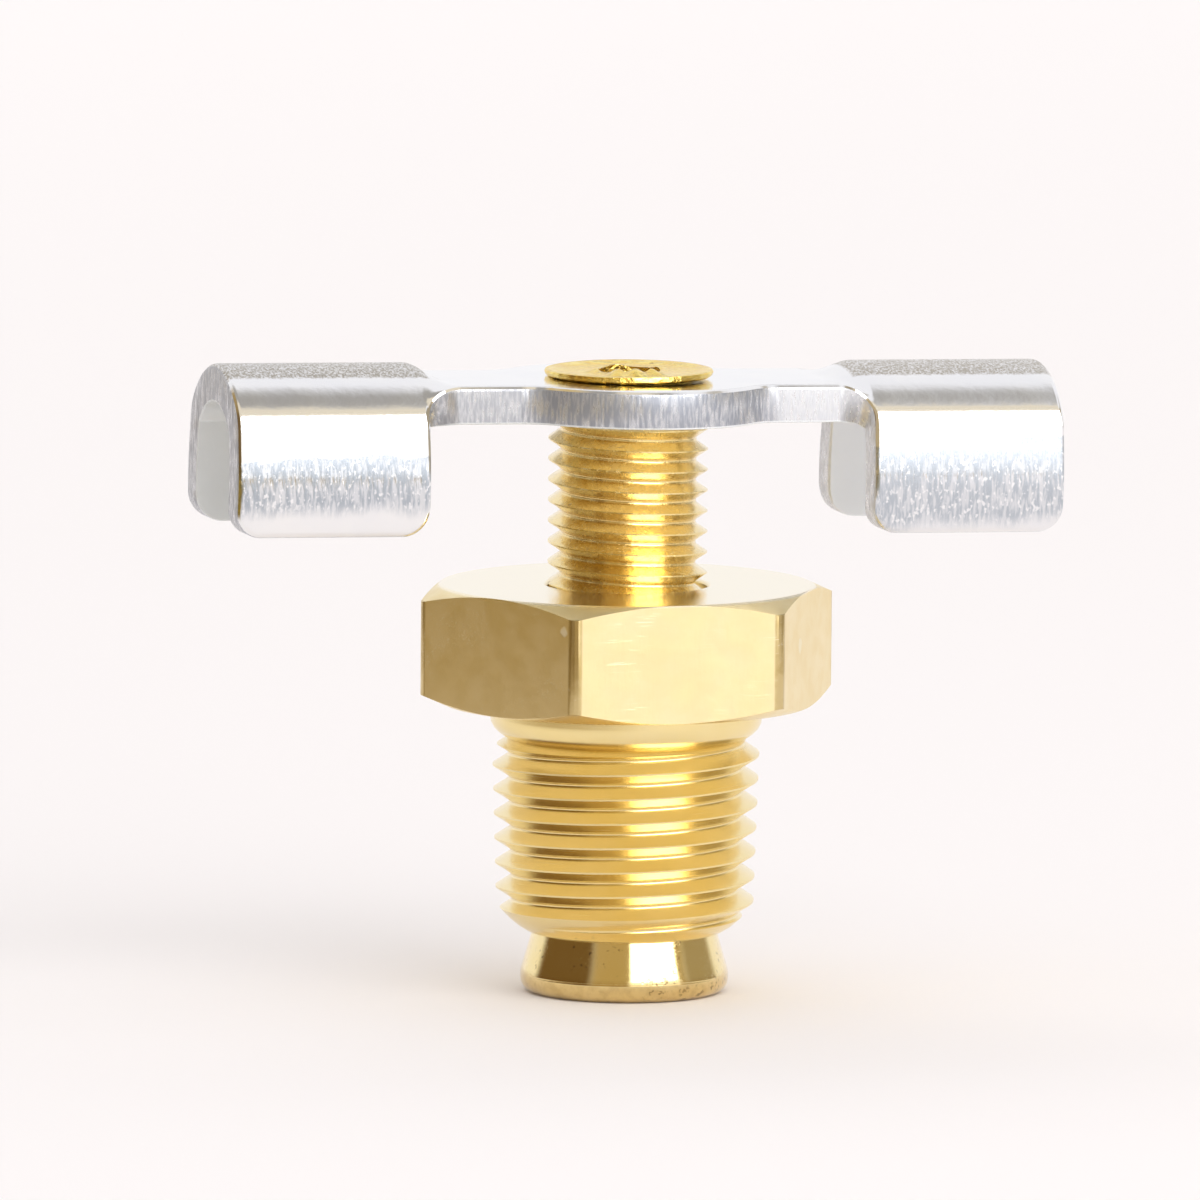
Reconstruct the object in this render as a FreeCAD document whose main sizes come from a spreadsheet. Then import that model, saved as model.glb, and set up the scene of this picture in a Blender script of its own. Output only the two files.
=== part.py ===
# Drain cock with an internal seat: a hexagon body with a tapered pipe thread, a one-piece stem
# whose plug closes the body's lower mouth, and a stamped wing handle riveted to the stem.
# Millimetres, +Z up. The origin is the centre of the plug's flat lower end, on the stem's axis,
# and the handle's wings lie along X. The valve is drawn closed.
import FreeCAD
import Part
import Sketcher
import math
import os
import re

# Sketch references: the origin point, and how a point with no distance lines up with it.
ORIGIN_POINT = (-1, 1)
ALIGNMENTS = {"DistanceX": "Vertical", "DistanceY": "Horizontal"}

# Limits for recognising edges by their direction and place.
SLOPE_TOLERANCE = 1e-6
PLACE_TOLERANCE = 1e-4

# Driving dimensions: alias, value, meaning.
DIMENSIONS = [
    ("plug_radius", 4.0, "radius of the plug's widest band"),
    ("plug_edge_width", 0.4, "width of the chamfer round the plug's flat end"),
    ("plug_edge_height", 0.5, "height of that chamfer"),
    ("plug_land_height", 0.3, "straight band above that chamfer"),
    ("plug_cone_angle", 15.8, "slope of the sealing cone from the axis, degrees"),
    ("plug_top_radius", 3.3, "radius where the sealing cone ends"),
    ("seat_radius", 3.57, "cone radius at the body's lower end"),
    ("seat_gap", 0.03, "radial gap between the cone and its seat"),
    ("neck_radius", 2.4, "waist of the stem above the plug"),
    ("neck_length", 5.4, "waist length from the cone's top to the thread"),
    ("neck_slope", 0.35, "height of the slopes at both ends of the waist"),
    ("stem_thread_radius", 3.04, "crest radius of the stem thread"),
    ("stem_thread_gap", 0.05, "radial gap between the stem thread and the body's nut bore"),
    ("drain_radius", 1.2, "axial drain hole in the stem"),
    ("drain_point_height", 0.7, "height of the drill point at the drain's end"),
    ("cross_hole_radius", 1.0, "cross hole that feeds the drain"),
    ("cross_hole_height", 1.7, "cross hole's centre above the cone's top"),
    ("tenon_radius", 2.45, "spigot that the handle is riveted on"),
    ("tenon_gap", 0.03, "radial gap between the spigot and the handle's hole"),
    ("rivet_gap", 0.02, "gap over and under the handle's hub"),
    ("head_radius", 3.18, "riveted head's radius"),
    ("head_rim_height", 0.2, "riveted head's rim"),
    ("head_crown", 0.1, "rise of the head from its rim to the drain's lip"),
    ("head_slope", 0.3, "width of the slope at the head's rim"),
    ("end_rim_radius", 3.7, "outer radius of the body's lower end"),
    ("end_chamfer_height", 1.25, "height of the lead-in chamfer on the pipe thread"),
    ("pipe_radius", 4.93, "pipe thread's crest radius at the body's lower end"),
    ("pipe_taper", 0.03125, "growth of that radius for each unit of height"),
    ("pipe_length", 7.43, "pipe thread's length from the body's lower end"),
    ("collar_radius", 4.75, "plain collar between the pipe thread and the hexagon"),
    ("collar_height", 0.7, "collar's height"),
    ("hex_flats", 14.29, "hexagon across flats"),
    ("hex_height", 5.2, "hexagon's height"),
    ("hex_corner_radius", 0.4, "rounding of the hexagon's corners"),
    ("hex_top_angle", 22.5, "slope of the hexagon's upper chamfer, degrees"),
    ("hex_under_angle", 20.0, "slope of the hexagon's lower chamfer, degrees"),
    ("hex_top_radius", 7.12, "radius of the flat circle on top"),
    ("hex_under_radius", 5.2, "radius of the flat circle underneath"),
    ("nut_bore_length", 6.1, "threaded length of the body's bore, from the top"),
    ("mouth_chamfer", 0.3, "chamfer at the top of the nut bore"),
    ("flow_gap", 0.28, "radial gap round the stem thread in the wide lower bore"),
    ("handle_clear", 6.5, "height from the hexagon to the handle's hub"),
    ("sheet", 1.46, "handle's sheet thickness"),
    ("hub_radius", 5.3, "handle's hub"),
    ("hub_blend_radius", 1.6, "inner curve between the hub and each arm"),
    ("arm_width", 6.0, "width of each arm"),
    ("wing_start", 8.8, "distance from the axis to each wing"),
    ("wing_length", 7.6, "length of each wing"),
    ("wing_width", 7.3, "outer width across the two flaps"),
    ("wing_rise", 0.56, "rise of the wing's crown above the hub"),
    ("wing_dome_radius", 4.4, "outer radius of the wing's domed top"),
    ("wing_bend_radius", 1.6, "outer radius of the bend into each flap"),
    ("wing_height", 6.1, "height from the crown to the flaps' lower edges"),
    ("wing_ramp", 1.1, "length over which the flat arm rises and flares into the domed wing"),
    ("wing_root_width", 6.9, "width to which the arm flares where it meets the wing"),
    ("flap_corner_radius", 1.0, "rounding of the flaps' lower corners"),
    ("cut_margin", 0.5, "how far cutting profiles reach past the metal"),
]

# Heights and radii that follow from the driving dimensions.
LEVELS = [
    ("cone_foot", "{d}.plug_edge_height + {d}.plug_land_height"),
    ("body_end", "{l}.cone_foot + ({d}.plug_radius - {d}.seat_radius) / tan({d}.plug_cone_angle)"),
    ("cone_top", "{l}.body_end + ({d}.seat_radius - {d}.plug_top_radius) / tan({d}.plug_cone_angle)"),
    ("neck_top", "{l}.cone_top + {d}.neck_length"),
    ("pipe_top", "{l}.body_end + {d}.pipe_length"),
    ("hex_under", "{l}.pipe_top + {d}.collar_height"),
    ("hex_top", "{l}.hex_under + {d}.hex_height"),
    ("hex_reach", "{d}.hex_flats / sqrt(3) + {d}.cut_margin"),
    ("top_chamfer_drop", "({l}.hex_reach - {d}.hex_top_radius) * tan({d}.hex_top_angle)"),
    ("under_chamfer_rise", "({l}.hex_reach - {d}.hex_under_radius) * tan({d}.hex_under_angle)"),
    ("nut_radius", "{d}.stem_thread_radius + {d}.stem_thread_gap"),
    ("flow_radius", "{d}.stem_thread_radius + {d}.flow_gap"),
    ("mouth_radius", "{d}.seat_radius + {d}.seat_gap"),
    ("seat_top", "{l}.body_end + ({l}.mouth_radius - {l}.flow_radius) / tan({d}.plug_cone_angle)"),
    ("nut_foot", "{l}.hex_top - {d}.nut_bore_length"),
    ("hub_under", "{l}.hex_top + {d}.handle_clear"),
    ("hub_top", "{l}.hub_under + {d}.sheet"),
    ("stem_shoulder", "{l}.hub_under - {d}.rivet_gap"),
    ("head_under", "{l}.hub_top + {d}.rivet_gap"),
    ("rim_top", "{l}.head_under + {d}.head_rim_height"),
    ("stem_top", "{l}.rim_top + {d}.head_crown"),
    ("cross_hole", "{l}.cone_top + {d}.cross_hole_height"),
    ("wing_crown", "{l}.hub_top + {d}.wing_rise"),
    ("dome_centre", "{l}.wing_crown - {d}.wing_dome_radius"),
    ("flap_foot", "{l}.wing_crown - {d}.wing_height"),
]

doc = FreeCAD.newDocument("drain_cock")


def make_sheet():
    """The spreadsheet of driving dimensions."""
    sheet = doc.addObject("Spreadsheet::Sheet", "Dimensions")
    for row, (alias, value, meaning) in enumerate(DIMENSIONS, start=1):
        sheet.set(f"A{row}", meaning)
        sheet.set(f"B{row}", str(value))
        sheet.setAlias(f"B{row}", alias)
    doc.recompute()
    return sheet


def make_levels():
    """The set of heights and radii that the sketches share, each bound to the sheet."""
    levels = doc.addObject("App::VarSet", "Levels")
    for name, expression in LEVELS:
        levels.addProperty("App::PropertyFloat", name, "Levels")
        levels.setExpression(name, expression.format(d="Dimensions", l="Levels"))
        doc.recompute()


SHEET = make_sheet()
make_levels()
OWNERS = {alias: "Dimensions" for alias, _, _ in DIMENSIONS} | {name: "Levels" for name, _ in LEVELS}


def expression(term):
    """A sketch term such as 'hex_top - sheet' with each name given its owner."""

    def owned(match):
        word = match.group(0)
        return f"{OWNERS[word]}.{word}" if word in OWNERS else word

    return re.sub(r"[a-z_]+", owned, term)


def value_of(term):
    """The present value of a sketch term, for first positions."""
    return float(SHEET.evalExpression(expression(term)))


def bind(target, path, term):
    """Binds one property of a feature to a term."""
    target.setExpression(path, expression(term))


def new_body(label):
    body = doc.addObject("PartDesign::Body", label)
    body.Label = label
    return body


def new_sketch(body, name, role, offset=None):
    """An empty sketch on one of the body's own origin planes, moved along its normal."""
    plane = next(item for item in body.Origin.OriginFeatures if item.Role == role)
    sketch = body.newObject("Sketcher::SketchObject", name)
    sketch.AttachmentSupport = [(plane, "")]
    sketch.MapMode = "FlatFace"
    if offset:
        bind(sketch, "AttachmentOffset.Base.z", offset)
    doc.recompute()
    return sketch


def dimension(sketch, kind, term, *places):
    """A dimension of the sketch that follows a term."""
    index = sketch.addConstraint(Sketcher.Constraint(kind, *places, value_of(term)))
    bind(sketch, f"Constraints[{index}]", term)


def place_point(sketch, geometry, end, across, up):
    """Puts one point of the sketch at two terms from the origin."""
    for kind, term in (("DistanceX", across), ("DistanceY", up)):
        if term == "0":
            sketch.addConstraint(Sketcher.Constraint(ALIGNMENTS[kind], *ORIGIN_POINT, geometry, end))
        else:
            dimension(sketch, kind, term, *ORIGIN_POINT, geometry, end)


def add_outline(sketch, corners):
    """A closed outline of straight lines, with each corner placed by two terms."""
    points = [FreeCAD.Vector(value_of(across), value_of(up), 0) for across, up in corners]
    count = len(corners)
    lines = []
    for index in range(count):
        segment = Part.LineSegment(points[index], points[(index + 1) % count])
        lines.append(sketch.addGeometry(segment, False))
    for index in range(count):
        sketch.addConstraint(
            Sketcher.Constraint("Coincident", lines[index], 2, lines[(index + 1) % count], 1)
        )
    for line, (across, up) in zip(lines, corners):
        place_point(sketch, line, 1, across, up)


def add_circle(sketch, radius, across="0", up="0"):
    centre = FreeCAD.Vector(value_of(across), value_of(up), 0)
    circle = Part.Circle(centre, FreeCAD.Vector(0, 0, 1), value_of(radius))
    index = sketch.addGeometry(circle, False)
    dimension(sketch, "Radius", radius, index)
    if across == "0" and up == "0":
        sketch.addConstraint(Sketcher.Constraint("Coincident", index, 3, *ORIGIN_POINT))
    else:
        place_point(sketch, index, 3, across, up)


def turn(body, kind, name, corners):
    """A revolved feature: a half profile of radius and height, spun about the stem's axis."""
    sketch = new_sketch(body, f"{name}_profile", "XZ_Plane")
    add_outline(sketch, corners)
    before = body.Shape.Volume if body.Tip else 0.0
    feature = body.newObject(kind, name)
    feature.Profile = sketch
    feature.ReferenceAxis = (sketch, ["V_Axis"])
    feature.Angle = 360
    doc.recompute()
    check_change(body, name, before, kind == "PartDesign::Revolution")
    return feature


def pad(body, sketch, name, length):
    before = body.Shape.Volume if body.Tip else 0.0
    feature = body.newObject("PartDesign::Pad", name)
    feature.Profile = sketch
    bind(feature, "Length", length)
    doc.recompute()
    check_change(body, name, before, True)
    return feature


def drill(body, sketch, name):
    """A hole that runs through all of the body, both ways from its sketch."""
    before = body.Shape.Volume
    feature = body.newObject("PartDesign::Pocket", name)
    feature.Profile = sketch
    feature.Type = "ThroughAll"
    feature.Midplane = True
    doc.recompute()
    check_change(body, name, before, False)
    return feature


def check_change(body, name, before, grows):
    """Stops the build if a feature did not add or remove metal as it should."""
    after = body.Shape.Volume
    if (after > before) != grows or after == before:
        raise RuntimeError(f"{name} changed the volume from {before} to {after}")


def round_edges(body, base, name, radius, wanted):
    """Rounds each straight edge of a feature whose middle satisfies a test."""
    picked = []
    for number, edge in enumerate(base.Shape.Edges, start=1):
        if edge.Curve.TypeId == "Part::GeomLine" and wanted(edge):
            picked.append(f"Edge{number}")
    feature = body.newObject("PartDesign::Fillet", name)
    feature.Base = (base, picked)
    bind(feature, "Radius", radius)
    doc.recompute()
    return feature


def runs_along(edge, direction):
    return abs(abs(edge.tangentAt(edge.FirstParameter).dot(direction)) - 1.0) < SLOPE_TOLERANCE


def near(first, second):
    return abs(first - second) < PLACE_TOLERANCE


def add_hexagon(sketch, flats):
    """A hexagon with two corners on the sketch's own X axis."""
    corner = value_of(flats) / 3 ** 0.5
    half_flats = value_of(flats) / 2
    points = [
        FreeCAD.Vector(corner, 0, 0),
        FreeCAD.Vector(corner / 2, half_flats, 0),
        FreeCAD.Vector(-corner / 2, half_flats, 0),
        FreeCAD.Vector(-corner, 0, 0),
        FreeCAD.Vector(-corner / 2, -half_flats, 0),
        FreeCAD.Vector(corner / 2, -half_flats, 0),
    ]
    count = len(points)
    sides = [
        sketch.addGeometry(Part.LineSegment(points[index], points[(index + 1) % count]), False)
        for index in range(count)
    ]
    ring = sketch.addGeometry(
        Part.Circle(FreeCAD.Vector(0, 0, 0), FreeCAD.Vector(0, 0, 1), corner), True
    )
    sketch.addConstraint(Sketcher.Constraint("Coincident", ring, 3, *ORIGIN_POINT))
    for index in range(count):
        following = sides[(index + 1) % count]
        sketch.addConstraint(Sketcher.Constraint("Coincident", sides[index], 2, following, 1))
        sketch.addConstraint(Sketcher.Constraint("PointOnObject", sides[index], 1, ring))
        if index:
            sketch.addConstraint(Sketcher.Constraint("Equal", sides[0], sides[index]))
    sketch.addConstraint(Sketcher.Constraint("Horizontal", *ORIGIN_POINT, sides[0], 1))
    dimension(sketch, "Distance", f"{flats} / sqrt(3)", sides[0])


def make_valve_body():
    """The hexagon, the tapered shank under it, and the bore with its nut thread and its seat."""
    body = new_body("valve_body")
    plan = new_sketch(body, "hex_plan", "XY_Plane", "hex_under")
    add_hexagon(plan, "hex_flats")
    block = pad(body, plan, "hex_block", "hex_height")
    upright = FreeCAD.Vector(0, 0, 1)
    round_edges(body, block, "hex_corners", "hex_corner_radius", lambda edge: runs_along(edge, upright))
    turn(body, "PartDesign::Groove", "hex_top_chamfer", [
        ("hex_top_radius", "hex_top"),
        ("hex_reach", "hex_top - top_chamfer_drop"),
        ("hex_reach", "hex_top + cut_margin"),
        ("hex_top_radius", "hex_top + cut_margin"),
    ])
    turn(body, "PartDesign::Groove", "hex_under_chamfer", [
        ("hex_under_radius", "hex_under"),
        ("hex_under_radius", "hex_under - cut_margin"),
        ("hex_reach", "hex_under - cut_margin"),
        ("hex_reach", "hex_under + under_chamfer_rise"),
    ])
    turn(body, "PartDesign::Revolution", "pipe_shank", [
        ("0", "body_end"),
        ("end_rim_radius", "body_end"),
        ("pipe_radius + end_chamfer_height * pipe_taper", "body_end + end_chamfer_height"),
        ("pipe_radius + pipe_length * pipe_taper", "pipe_top"),
        ("collar_radius", "pipe_top"),
        ("collar_radius", "hex_under"),
        ("0", "hex_under"),
    ])
    turn(body, "PartDesign::Groove", "bore", [
        ("0", "body_end - cut_margin"),
        ("mouth_radius + cut_margin * tan(plug_cone_angle)", "body_end - cut_margin"),
        ("flow_radius", "seat_top"),
        ("flow_radius", "nut_foot - flow_gap"),
        ("nut_radius", "nut_foot"),
        ("nut_radius", "hex_top - mouth_chamfer"),
        ("nut_radius + mouth_chamfer + cut_margin", "hex_top + cut_margin"),
        ("0", "hex_top + cut_margin"),
    ])
    return body


def make_stem():
    """The turned stem: plug, waist, threaded shank, spigot and riveted head, with its drain."""
    body = new_body("stem")
    turn(body, "PartDesign::Revolution", "stem_turning", [
        ("0", "0"),
        ("plug_radius - plug_edge_width", "0"),
        ("plug_radius", "plug_edge_height"),
        ("plug_radius", "cone_foot"),
        ("plug_top_radius", "cone_top"),
        ("neck_radius", "cone_top + neck_slope"),
        ("neck_radius", "neck_top - neck_slope"),
        ("stem_thread_radius", "neck_top"),
        ("stem_thread_radius", "stem_shoulder"),
        ("tenon_radius", "stem_shoulder"),
        ("tenon_radius", "head_under"),
        ("head_radius", "head_under"),
        ("head_radius", "rim_top"),
        ("head_radius - head_slope", "stem_top"),
        ("0", "stem_top"),
    ])
    turn(body, "PartDesign::Groove", "drain", [
        ("0", "cross_hole - drain_point_height"),
        ("drain_radius", "cross_hole"),
        ("drain_radius", "stem_top + cut_margin"),
        ("0", "stem_top + cut_margin"),
    ])
    section = new_sketch(body, "cross_hole_section", "XZ_Plane")
    add_circle(section, "cross_hole_radius", "0", "cross_hole")
    drill(body, section, "cross_hole_drilling")
    return body


def add_wing_section(sketch):
    """The wing's folded section: a domed top, a bend on each side and two upright flaps."""
    half = value_of("wing_width / 2")
    metal = value_of("sheet")
    foot = value_of("flap_foot")
    centre = value_of("dome_centre")
    dome_radius = value_of("wing_dome_radius")
    bend_radius = value_of("wing_bend_radius")
    bend_across = half - bend_radius
    bend_up = ((dome_radius - bend_radius) ** 2 - bend_across ** 2) ** 0.5
    bend_angle = math.atan2(bend_up, bend_across)
    inner_radius = dome_radius - metal
    inner_angle = math.acos((half - metal) / inner_radius)
    inner_up = centre + inner_radius * math.sin(inner_angle)
    bend_height = centre + bend_up

    def line(start, end):
        return sketch.addGeometry(
            Part.LineSegment(FreeCAD.Vector(*start, 0), FreeCAD.Vector(*end, 0)), False
        )

    def arc(across, up, radius, start, end):
        circle = Part.Circle(FreeCAD.Vector(across, up, 0), FreeCAD.Vector(0, 0, 1), radius)
        return sketch.addGeometry(Part.ArcOfCircle(circle, start, end), False)

    right_outer = line((half, foot), (half, bend_height))
    right_bend = arc(bend_across, bend_height, bend_radius, 0, bend_angle)
    dome = arc(0, centre, dome_radius, bend_angle, math.pi - bend_angle)
    left_bend = arc(-bend_across, bend_height, bend_radius, math.pi - bend_angle, math.pi)
    left_outer = line((-half, bend_height), (-half, foot))
    left_foot = line((-half, foot), (metal - half, foot))
    left_inner = line((metal - half, foot), (metal - half, inner_up))
    inner_dome = arc(0, centre, inner_radius, inner_angle, math.pi - inner_angle)
    right_inner = line((half - metal, inner_up), (half - metal, foot))
    right_foot = line((half - metal, foot), (half, foot))

    smooth_joints = [
        (right_outer, 2, right_bend, 1),
        (right_bend, 2, dome, 1),
        (dome, 2, left_bend, 1),
        (left_bend, 2, left_outer, 1),
    ]
    for joint in smooth_joints:
        sketch.addConstraint(Sketcher.Constraint("Tangent", *joint))
    corners = [
        (left_outer, 2, left_foot, 1),
        (left_foot, 2, left_inner, 1),
        (left_inner, 2, inner_dome, 2),
        (inner_dome, 1, right_inner, 1),
        (right_inner, 2, right_foot, 1),
        (right_foot, 2, right_outer, 1),
        (inner_dome, 3, dome, 3),
    ]
    for corner in corners:
        sketch.addConstraint(Sketcher.Constraint("Coincident", *corner))
    for upright in (right_outer, left_outer, left_inner, right_inner):
        sketch.addConstraint(Sketcher.Constraint("Vertical", upright))
    for level in (left_foot, right_foot):
        sketch.addConstraint(Sketcher.Constraint("Horizontal", level))
    sketch.addConstraint(Sketcher.Constraint("Equal", right_bend, left_bend))
    place_point(sketch, dome, 3, "0", "dome_centre")
    dimension(sketch, "Radius", "wing_dome_radius", dome)
    dimension(sketch, "Radius", "wing_dome_radius - sheet", inner_dome)
    dimension(sketch, "Radius", "wing_bend_radius", right_bend)
    dimension(sketch, "DistanceX", "wing_width / 2", *ORIGIN_POINT, right_outer, 1)
    dimension(sketch, "DistanceX", "wing_width / 2", left_outer, 2, *ORIGIN_POINT)
    dimension(sketch, "DistanceY", "flap_foot", *ORIGIN_POINT, right_outer, 1)
    dimension(sketch, "DistanceY", "flap_foot", *ORIGIN_POINT, left_outer, 2)
    dimension(sketch, "DistanceX", "sheet", right_inner, 2, right_outer, 1)
    dimension(sketch, "DistanceX", "sheet", left_outer, 2, left_inner, 1)


def add_domed_strip(sketch):
    """The arm's section where it meets the wing: a little wider, and domed like the wing."""
    half = value_of("wing_root_width / 2")
    radius = value_of("wing_dome_radius")
    centre = value_of("dome_centre")
    drop = value_of("sheet")
    angle = math.acos(half / radius)
    side_up = radius * math.sin(angle)

    def arc(up):
        circle = Part.Circle(FreeCAD.Vector(0, up, 0), FreeCAD.Vector(0, 0, 1), radius)
        return sketch.addGeometry(Part.ArcOfCircle(circle, angle, math.pi - angle), False)

    def side(across):
        upper = FreeCAD.Vector(across, centre + side_up, 0)
        lower = FreeCAD.Vector(across, centre + side_up - drop, 0)
        return sketch.addGeometry(Part.LineSegment(upper, lower), False)

    top = arc(centre)
    left = side(-half)
    under = arc(centre - drop)
    right = side(half)
    for corner in ((top, 2, left, 1), (left, 2, under, 2), (under, 1, right, 2), (right, 1, top, 1)):
        sketch.addConstraint(Sketcher.Constraint("Coincident", *corner))
    place_point(sketch, top, 3, "0", "dome_centre")
    place_point(sketch, under, 3, "0", "dome_centre - sheet")
    dimension(sketch, "Radius", "wing_dome_radius", top)
    dimension(sketch, "Radius", "wing_dome_radius", under)
    sketch.addConstraint(Sketcher.Constraint("Vertical", left))
    sketch.addConstraint(Sketcher.Constraint("Vertical", right))
    dimension(sketch, "DistanceX", "wing_root_width / 2", *ORIGIN_POINT, right, 1)
    dimension(sketch, "DistanceX", "wing_root_width / 2", left, 1, *ORIGIN_POINT)


def make_handle():
    """The stamped handle: a round hub, two arms, and two wings folded down into flaps."""
    body = new_body("handle")
    hub_plan = new_sketch(body, "hub_plan", "XY_Plane", "hub_under")
    add_circle(hub_plan, "hub_radius")
    pad(body, hub_plan, "hub", "sheet")

    arm_plan = new_sketch(body, "arm_plan", "XY_Plane", "hub_under")
    add_outline(arm_plan, [
        ("0", "-arm_width / 2"),
        ("wing_start - wing_ramp", "-arm_width / 2"),
        ("wing_start - wing_ramp", "arm_width / 2"),
        ("0", "arm_width / 2"),
    ])
    arm = pad(body, arm_plan, "arm", "sheet")

    arm_end = new_sketch(body, "arm_end", "YZ_Plane", "wing_start - wing_ramp")
    add_outline(arm_end, [
        ("arm_width / 2", "hub_top"),
        ("-arm_width / 2", "hub_top"),
        ("-arm_width / 2", "hub_under"),
        ("arm_width / 2", "hub_under"),
    ])
    wing_root = new_sketch(body, "wing_root", "YZ_Plane", "wing_start")
    add_domed_strip(wing_root)
    ramp = body.newObject("PartDesign::AdditiveLoft", "ramp")
    ramp.Profile = arm_end
    ramp.Sections = [wing_root]
    ramp.Ruled = True
    doc.recompute()

    wing_section = new_sketch(body, "wing_section", "YZ_Plane", "wing_start")
    add_wing_section(wing_section)
    wing = pad(body, wing_section, "wing", "wing_length")

    before = body.Shape.Volume
    both = body.newObject("PartDesign::PolarPattern", "both_sides")
    both.Originals = [arm, ramp, wing]
    both.Axis = (hub_plan, ["N_Axis"])
    both.Angle = 360
    both.Occurrences = 2
    body.Tip = both
    doc.recompute()
    check_change(body, "both_sides", before, True)

    across = FreeCAD.Vector(0, 1, 0)
    foot = value_of("flap_foot")
    flaps = round_edges(
        body, both, "flap_corners", "flap_corner_radius",
        lambda edge: runs_along(edge, across) and near(edge.CenterOfMass.z, foot),
    )
    upright = FreeCAD.Vector(0, 0, 1)
    half_arm = value_of("arm_width / 2")
    meeting = (value_of("hub_radius") ** 2 - half_arm ** 2) ** 0.5
    round_edges(
        body, flaps, "hub_blends", "hub_blend_radius",
        lambda edge: runs_along(edge, upright) and near(abs(edge.CenterOfMass.x), meeting),
    )
    hole_plan = new_sketch(body, "hole_plan", "XY_Plane", "hub_under")
    add_circle(hole_plan, "tenon_radius + tenon_gap")
    drill(body, hole_plan, "hub_hole")
    return body


def check_document():
    """Stops the build if any object failed to recompute."""
    doc.recompute()
    for item in doc.Objects:
        if "Invalid" in item.State or "Error" in item.State:
            raise RuntimeError(f"{item.Name} failed: {item.State}")


def write_part(body):
    """Checks one piece and writes its solid."""
    shape = body.Shape
    if shape.isNull() or not shape.isValid() or len(shape.Solids) != 1:
        raise RuntimeError(f"{body.Label} is not one valid solid")
    box = shape.BoundBox
    print(f"{body.Label}: {shape.Volume:.2f} mm3, z {box.ZMin:.3f} to {box.ZMax:.3f}")
    shape.exportStep(f"parts/{body.Label}.step")


pieces = [make_valve_body(), make_stem(), make_handle()]
check_document()
os.makedirs("parts", exist_ok=True)
for piece in pieces:
    write_part(piece)
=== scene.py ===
# %% [markdown]
# A drain cock in brass and plated steel
#
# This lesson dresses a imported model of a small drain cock: a hexagon body with a tapered pipe
# thread, a screwed stem with a conical plug, and a folded wing handle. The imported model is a
# fixed frame. Every new piece is modelled in metres in that same frame, so it goes where the
# frame says and nothing is fitted afterwards.

import bmesh
import bpy
import math
from mathutils import Matrix, Vector


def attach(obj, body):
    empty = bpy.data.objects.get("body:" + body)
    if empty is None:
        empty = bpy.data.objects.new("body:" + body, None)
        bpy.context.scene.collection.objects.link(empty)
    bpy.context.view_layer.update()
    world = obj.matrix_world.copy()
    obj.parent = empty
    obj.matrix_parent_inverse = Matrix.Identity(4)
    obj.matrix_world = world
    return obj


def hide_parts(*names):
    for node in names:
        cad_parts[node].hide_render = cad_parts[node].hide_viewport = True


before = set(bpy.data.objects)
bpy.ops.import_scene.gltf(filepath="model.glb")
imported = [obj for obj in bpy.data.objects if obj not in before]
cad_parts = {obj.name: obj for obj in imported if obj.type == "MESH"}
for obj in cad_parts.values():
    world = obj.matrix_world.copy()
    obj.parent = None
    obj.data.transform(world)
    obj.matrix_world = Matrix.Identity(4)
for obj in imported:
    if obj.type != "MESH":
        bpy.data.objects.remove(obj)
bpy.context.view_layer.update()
MM = 0.001
print("frame nodes:", sorted(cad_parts))

# %% [markdown]
# The camera
#
# The photograph looks slightly down on the valve, with the left wing turned a little towards
# the lens, and from far enough away that parallel edges stay parallel. A long lens on a distant
# camera gives that flat look. The camera is placed on a sphere about an aim point: the aim point
# is the spot of the object that lies in the middle of the picture.

# %% Place the camera
PHOTO_PIXELS = 1200
PIXELS_PER_MM = 26.1
AXIS_PIXEL_X = 627
AIM_HEIGHT = 15.08 * MM
AZIMUTH = math.radians(-16.0)
ELEVATION = math.radians(7.0)
ROLL = math.radians(0.45)
DISTANCE = 0.75


def toward(azimuth, elevation):
    """The direction at an azimuth, counted from the front to the right, and an elevation."""
    return Vector((
        math.sin(azimuth) * math.cos(elevation),
        -math.cos(azimuth) * math.cos(elevation),
        math.sin(elevation),
    ))


picture_width = PHOTO_PIXELS / PIXELS_PER_MM * MM
to_camera = toward(AZIMUTH, ELEVATION)
to_right = Vector((math.cos(AZIMUTH), math.sin(AZIMUTH), 0))
aim = Vector((0, 0, AIM_HEIGHT)) - to_right * (AXIS_PIXEL_X - PHOTO_PIXELS / 2) / PIXELS_PER_MM * MM

bpy.ops.object.camera_add(location=aim + to_camera * DISTANCE)
camera = bpy.context.object
camera.name = "photo_camera"
turned = to_camera.to_track_quat("Z", "Y").to_matrix()
camera.rotation_euler = (turned @ Matrix.Rotation(ROLL, 3, "Z")).to_euler()
camera.data.sensor_width = 36
camera.data.angle = 2 * math.atan(picture_width / 2 / DISTANCE)
camera.data.clip_start = 0.01
bpy.context.scene.camera = camera
print("picture is", round(picture_width / MM, 2), "mm wide at the object")

# %% [markdown]
# Bench tools
#
# An operator acts on whatever is selected, so each helper first clears the selection and then
# picks exactly what it needs: a whole piece, or the vertices, edges or faces of a piece that pass
# a test on their place. A modifier is added and applied at once, so that finished pieces are
# plain meshes.

# %% Bench tools for picking and joining
MERGE_DISTANCE = 0.0005 * MM


def deselect():
    """Leaves nothing selected."""
    if bpy.context.object and bpy.context.object.mode != "OBJECT":
        close_edit()
    bpy.ops.object.select_all(action="DESELECT")


def close_edit():
    """Goes back from edit mode to object mode."""
    bpy.ops.object.mode_set(mode="OBJECT")


def only(piece):
    """Selects one piece and nothing else."""
    deselect()
    piece.select_set(True)
    bpy.context.view_layer.objects.active = piece


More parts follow.
